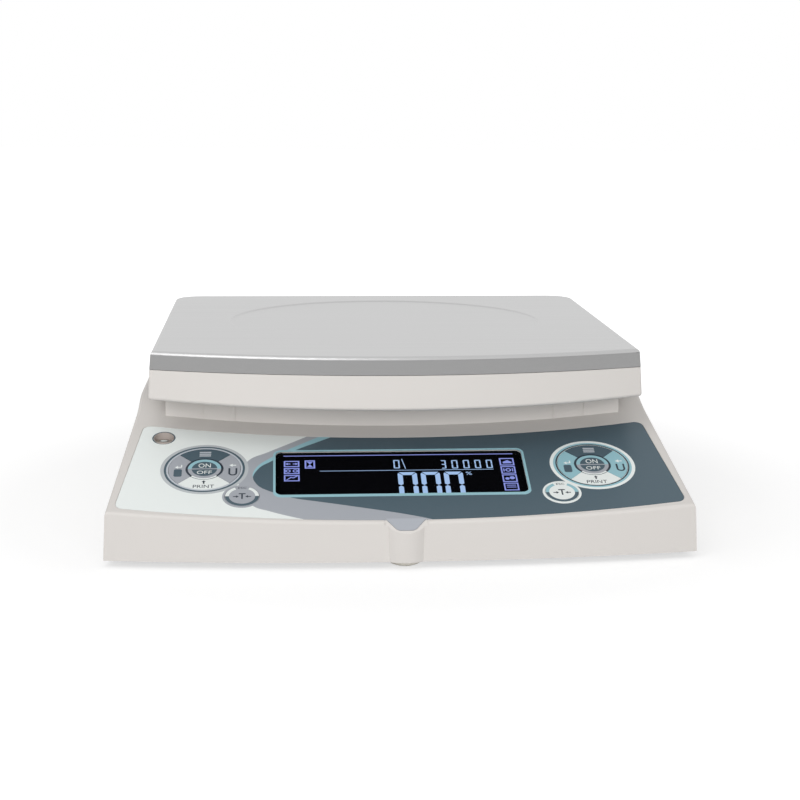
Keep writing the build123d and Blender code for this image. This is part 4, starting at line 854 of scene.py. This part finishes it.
def makeCrossTree():
    tree = bpy.data.node_groups.new("paintedRecessShades", "GeometryNodeTree")
    face = tree.interface
    face.new_socket("Geometry", in_out="INPUT", socket_type="NodeSocketGeometry")
    sockets = {}
    for name in ("length", "width", "depth"):
        socket = face.new_socket(name.capitalize(), in_out="INPUT", socket_type="NodeSocketFloat")
        sockets[name] = socket.identifier
    sockets["finish"] = face.new_socket("Finish", in_out="INPUT", socket_type="NodeSocketMaterial").identifier
    face.new_socket("Geometry", in_out="OUTPUT", socket_type="NodeSocketGeometry")
    start, end = tree.nodes.new("NodeGroupInput"), tree.nodes.new("NodeGroupOutput")
    cross = tree.nodes.new("GeometryNodeMeshBoolean")
    cross.operation = "UNION"
    for order in (("Length", "Width", "Depth"), ("Width", "Length", "Depth")):
        size = tree.nodes.new("ShaderNodeCombineXYZ")
        for socket, name in zip(size.inputs, order):
            tree.links.new(start.outputs[name], socket)
        bar = tree.nodes.new("GeometryNodeMeshCube")
        tree.links.new(size.outputs[0], bar.inputs["Size"])
        tree.links.new(bar.outputs[0], cross.inputs["Mesh 2"])
    copies = tree.nodes.new("GeometryNodeInstanceOnPoints")
    real = tree.nodes.new("GeometryNodeRealizeInstances")
    paint = tree.nodes.new("GeometryNodeSetMaterial")
    tree.links.new(start.outputs["Geometry"], copies.inputs["Points"])
    tree.links.new(cross.outputs[0], copies.inputs["Instance"])
    tree.links.new(copies.outputs[0], real.inputs[0])
    tree.links.new(real.outputs[0], paint.inputs["Geometry"])
    tree.links.new(start.outputs["Finish"], paint.inputs["Material"])
    tree.links.new(paint.outputs[0], end.inputs[0])
    return tree, sockets


crossTree, crossSockets = makeCrossTree()
# painted shade: a near-black finish for the shade inside the recesses
recessShadeFinish = moulded("recessShadow", (0.012, 0.012, 0.013, 1), rough=0.7, gloss=0.1)


def crossPiece(name, places, height, scale=1.0):
    mesh = bpy.data.meshes.new(name)
    mesh.from_pydata([(x / 1000, y / 1000, height / 1000) for x, y in places], [], [])
    piece = link(bpy.data.objects.new(name, mesh))
    crosses = piece.modifiers.new("crosses", "NODES")
    crosses.node_group = crossTree
    for size in ("length", "width", "depth"):
        crosses[crossSockets[size]] = crossSizes[size] * (scale if size != "depth" else 1.0)
    crosses[crossSockets["finish"]] = recessShadeFinish
    settle(piece, crosses)
    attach(piece, "base")


housingPlaces = [(side * screws["housingX"], y) for side in (-1, 1) for y in screws["housingY"]]
doorPlaces = [(screws["doorX"] + side * screws["doorStep"], screws["doorY"]) for side in (-1, 1)]
crossPiece("housing_screw_crosses", housingPlaces, screws["housingHeight"])
crossPiece("door_screw_crosses", doorPlaces, screws["doorHeight"], screws["doorScale"])
print("screw recesses made")


# ---- floor, light and camera ----
studio = {
    "floorHalf": 6.0, "floorDark": (0.49, 0.49, 0.49, 1), "floorLight": (0.51, 0.51, 0.51, 1),
    "floorGlow": 0.6, "floorNear": 0.25, "floorFar": 0.75, "skyStrength": 0.52, "target": (0, 0, 0.05),
    "keyLamp": {"spot": (-0.9, -1.3, 1.5), "width": 1.4, "height": 1.4, "energy": 10},
    "frontLamp": {"spot": (0, -3.2, 0.72), "width": 3.0, "height": 1.3, "energy": 52},
}


def seenRays(tree):  # 1 for rays of the camera, of reflections and through glass
    path = tree.nodes.new("ShaderNodeLightPath")
    seen = calc(tree, "MAXIMUM", path.outputs["Is Camera Ray"], path.outputs["Is Glossy Ray"])
    return calc(tree, "MAXIMUM", seen, path.outputs["Is Transmission Ray"])


def makeFloor():
    material = bpy.data.materials.new("paleFloor")
    material.use_nodes = True
    tree = material.node_tree
    tree.nodes.clear()
    output = tree.nodes.new("ShaderNodeOutputMaterial")
    base = tree.nodes.new("ShaderNodeBsdfDiffuse")
    cloud = noise(tree, place(tree), 3, 2)
    feed(tree, blendColour(tree, cloud, studio["floorDark"], studio["floorLight"]), base.inputs["Color"])
    glow = tree.nodes.new("ShaderNodeEmission")
    # painted light: the floor's glow is lower near the object and grows to white away from it, so the floor
    # round the object is painted darker
    away = tree.nodes.new("ShaderNodeVectorMath")  # the floor is whiter away from the object
    away.operation = "LENGTH"
    tree.links.new(place(tree), away.inputs[0])
    strength = tree.nodes.new("ShaderNodeMapRange")
    feed(tree, away.outputs["Value"], strength.inputs["Value"])
    strength.inputs["From Min"].default_value = studio["floorNear"]
    strength.inputs["From Max"].default_value = studio["floorFar"]
    strength.inputs["To Min"].default_value = studio["floorGlow"]
    feed(tree, calc(tree, "MULTIPLY", seenRays(tree), strength.outputs[0]), glow.inputs["Strength"])
    both = tree.nodes.new("ShaderNodeAddShader")
    tree.links.new(base.outputs[0], both.inputs[0])
    tree.links.new(glow.outputs[0], both.inputs[1])
    tree.links.new(both.outputs[0], output.inputs["Surface"])
    half = studio["floorHalf"]
    mesh = bpy.data.meshes.new("studio_floor")
    corners = [(-half, -half, 0), (half, -half, 0), (half, half, 0), (-half, half, 0)]
    mesh.from_pydata(corners, [], [(0, 1, 2, 3)])
    mesh.materials.append(material)
    link(bpy.data.objects.new("studio_floor", mesh))


def makeSky():
    world = bpy.data.worlds.new("studioSky")
    world.use_nodes = True
    tree = world.node_tree
    tree.nodes.clear()
    output = tree.nodes.new("ShaderNodeOutputWorld")
    light = tree.nodes.new("ShaderNodeBackground")
    light.inputs["Color"].default_value = (1, 1, 1, 1)
    light.inputs["Strength"].default_value = studio["skyStrength"]
    white = tree.nodes.new("ShaderNodeBackground")
    white.inputs["Color"].default_value = (1, 1, 1, 1)
    mixed = tree.nodes.new("ShaderNodeMixShader")
    tree.links.new(seenRays(tree), mixed.inputs[0])
    tree.links.new(light.outputs[0], mixed.inputs[1])
    tree.links.new(white.outputs[0], mixed.inputs[2])
    tree.links.new(mixed.outputs[0], output.inputs["Surface"])
    bpy.context.scene.world = world


def makeLamp(name):
    sizes = studio[name]
    lamp = bpy.data.lights.new(name, "AREA")
    lamp.shape = "RECTANGLE"
    lamp.size, lamp.size_y = sizes["width"], sizes["height"]
    lamp.energy = sizes["energy"]
    holder = link(bpy.data.objects.new(name, lamp))
    holder.location = sizes["spot"]
    towards = Vector(studio["target"]) - Vector(sizes["spot"])
    holder.rotation_euler = towards.to_track_quat("-Z", "Y").to_euler()
    return holder


def makeCamera():
    view = {
        "spot": (-0.06988, -1.14787, 0.27812), "yaw": 0.098, "pitch": 0.180, "roll": 0.010,
        "lens": 78.156, "shiftX": -0.065, "shiftY": -0.003,
    }
    yaw, pitch, roll = view["yaw"], view["pitch"], view["roll"]
    forward = Vector((math.sin(yaw) * math.cos(pitch), math.cos(yaw) * math.cos(pitch), -math.sin(pitch)))
    right = Vector((math.cos(yaw), -math.sin(yaw), 0))
    up = right.cross(forward)
    across = right * math.cos(roll) + up * math.sin(roll)
    upright = up * math.cos(roll) - right * math.sin(roll)
    camera = bpy.data.cameras.new("camera")
    camera.lens = view["lens"]
    camera.sensor_width = 36
    camera.shift_x, camera.shift_y = view["shiftX"], view["shiftY"]
    camera.clip_start = 0.01
    holder = link(bpy.data.objects.new("camera", camera))
    turn = Matrix((across, upright, -forward)).transposed()
    holder.matrix_world = Matrix.Translation(view["spot"]) @ turn.to_4x4()
    bpy.context.scene.camera = holder


makeFloor()
makeSky()
makeLamp("keyLamp")
makeLamp("frontLamp").visible_glossy = False  # no bright bar in the front of the pan
makeCamera()
bpy.context.scene.view_settings.view_transform = "Standard"
print("studio made")
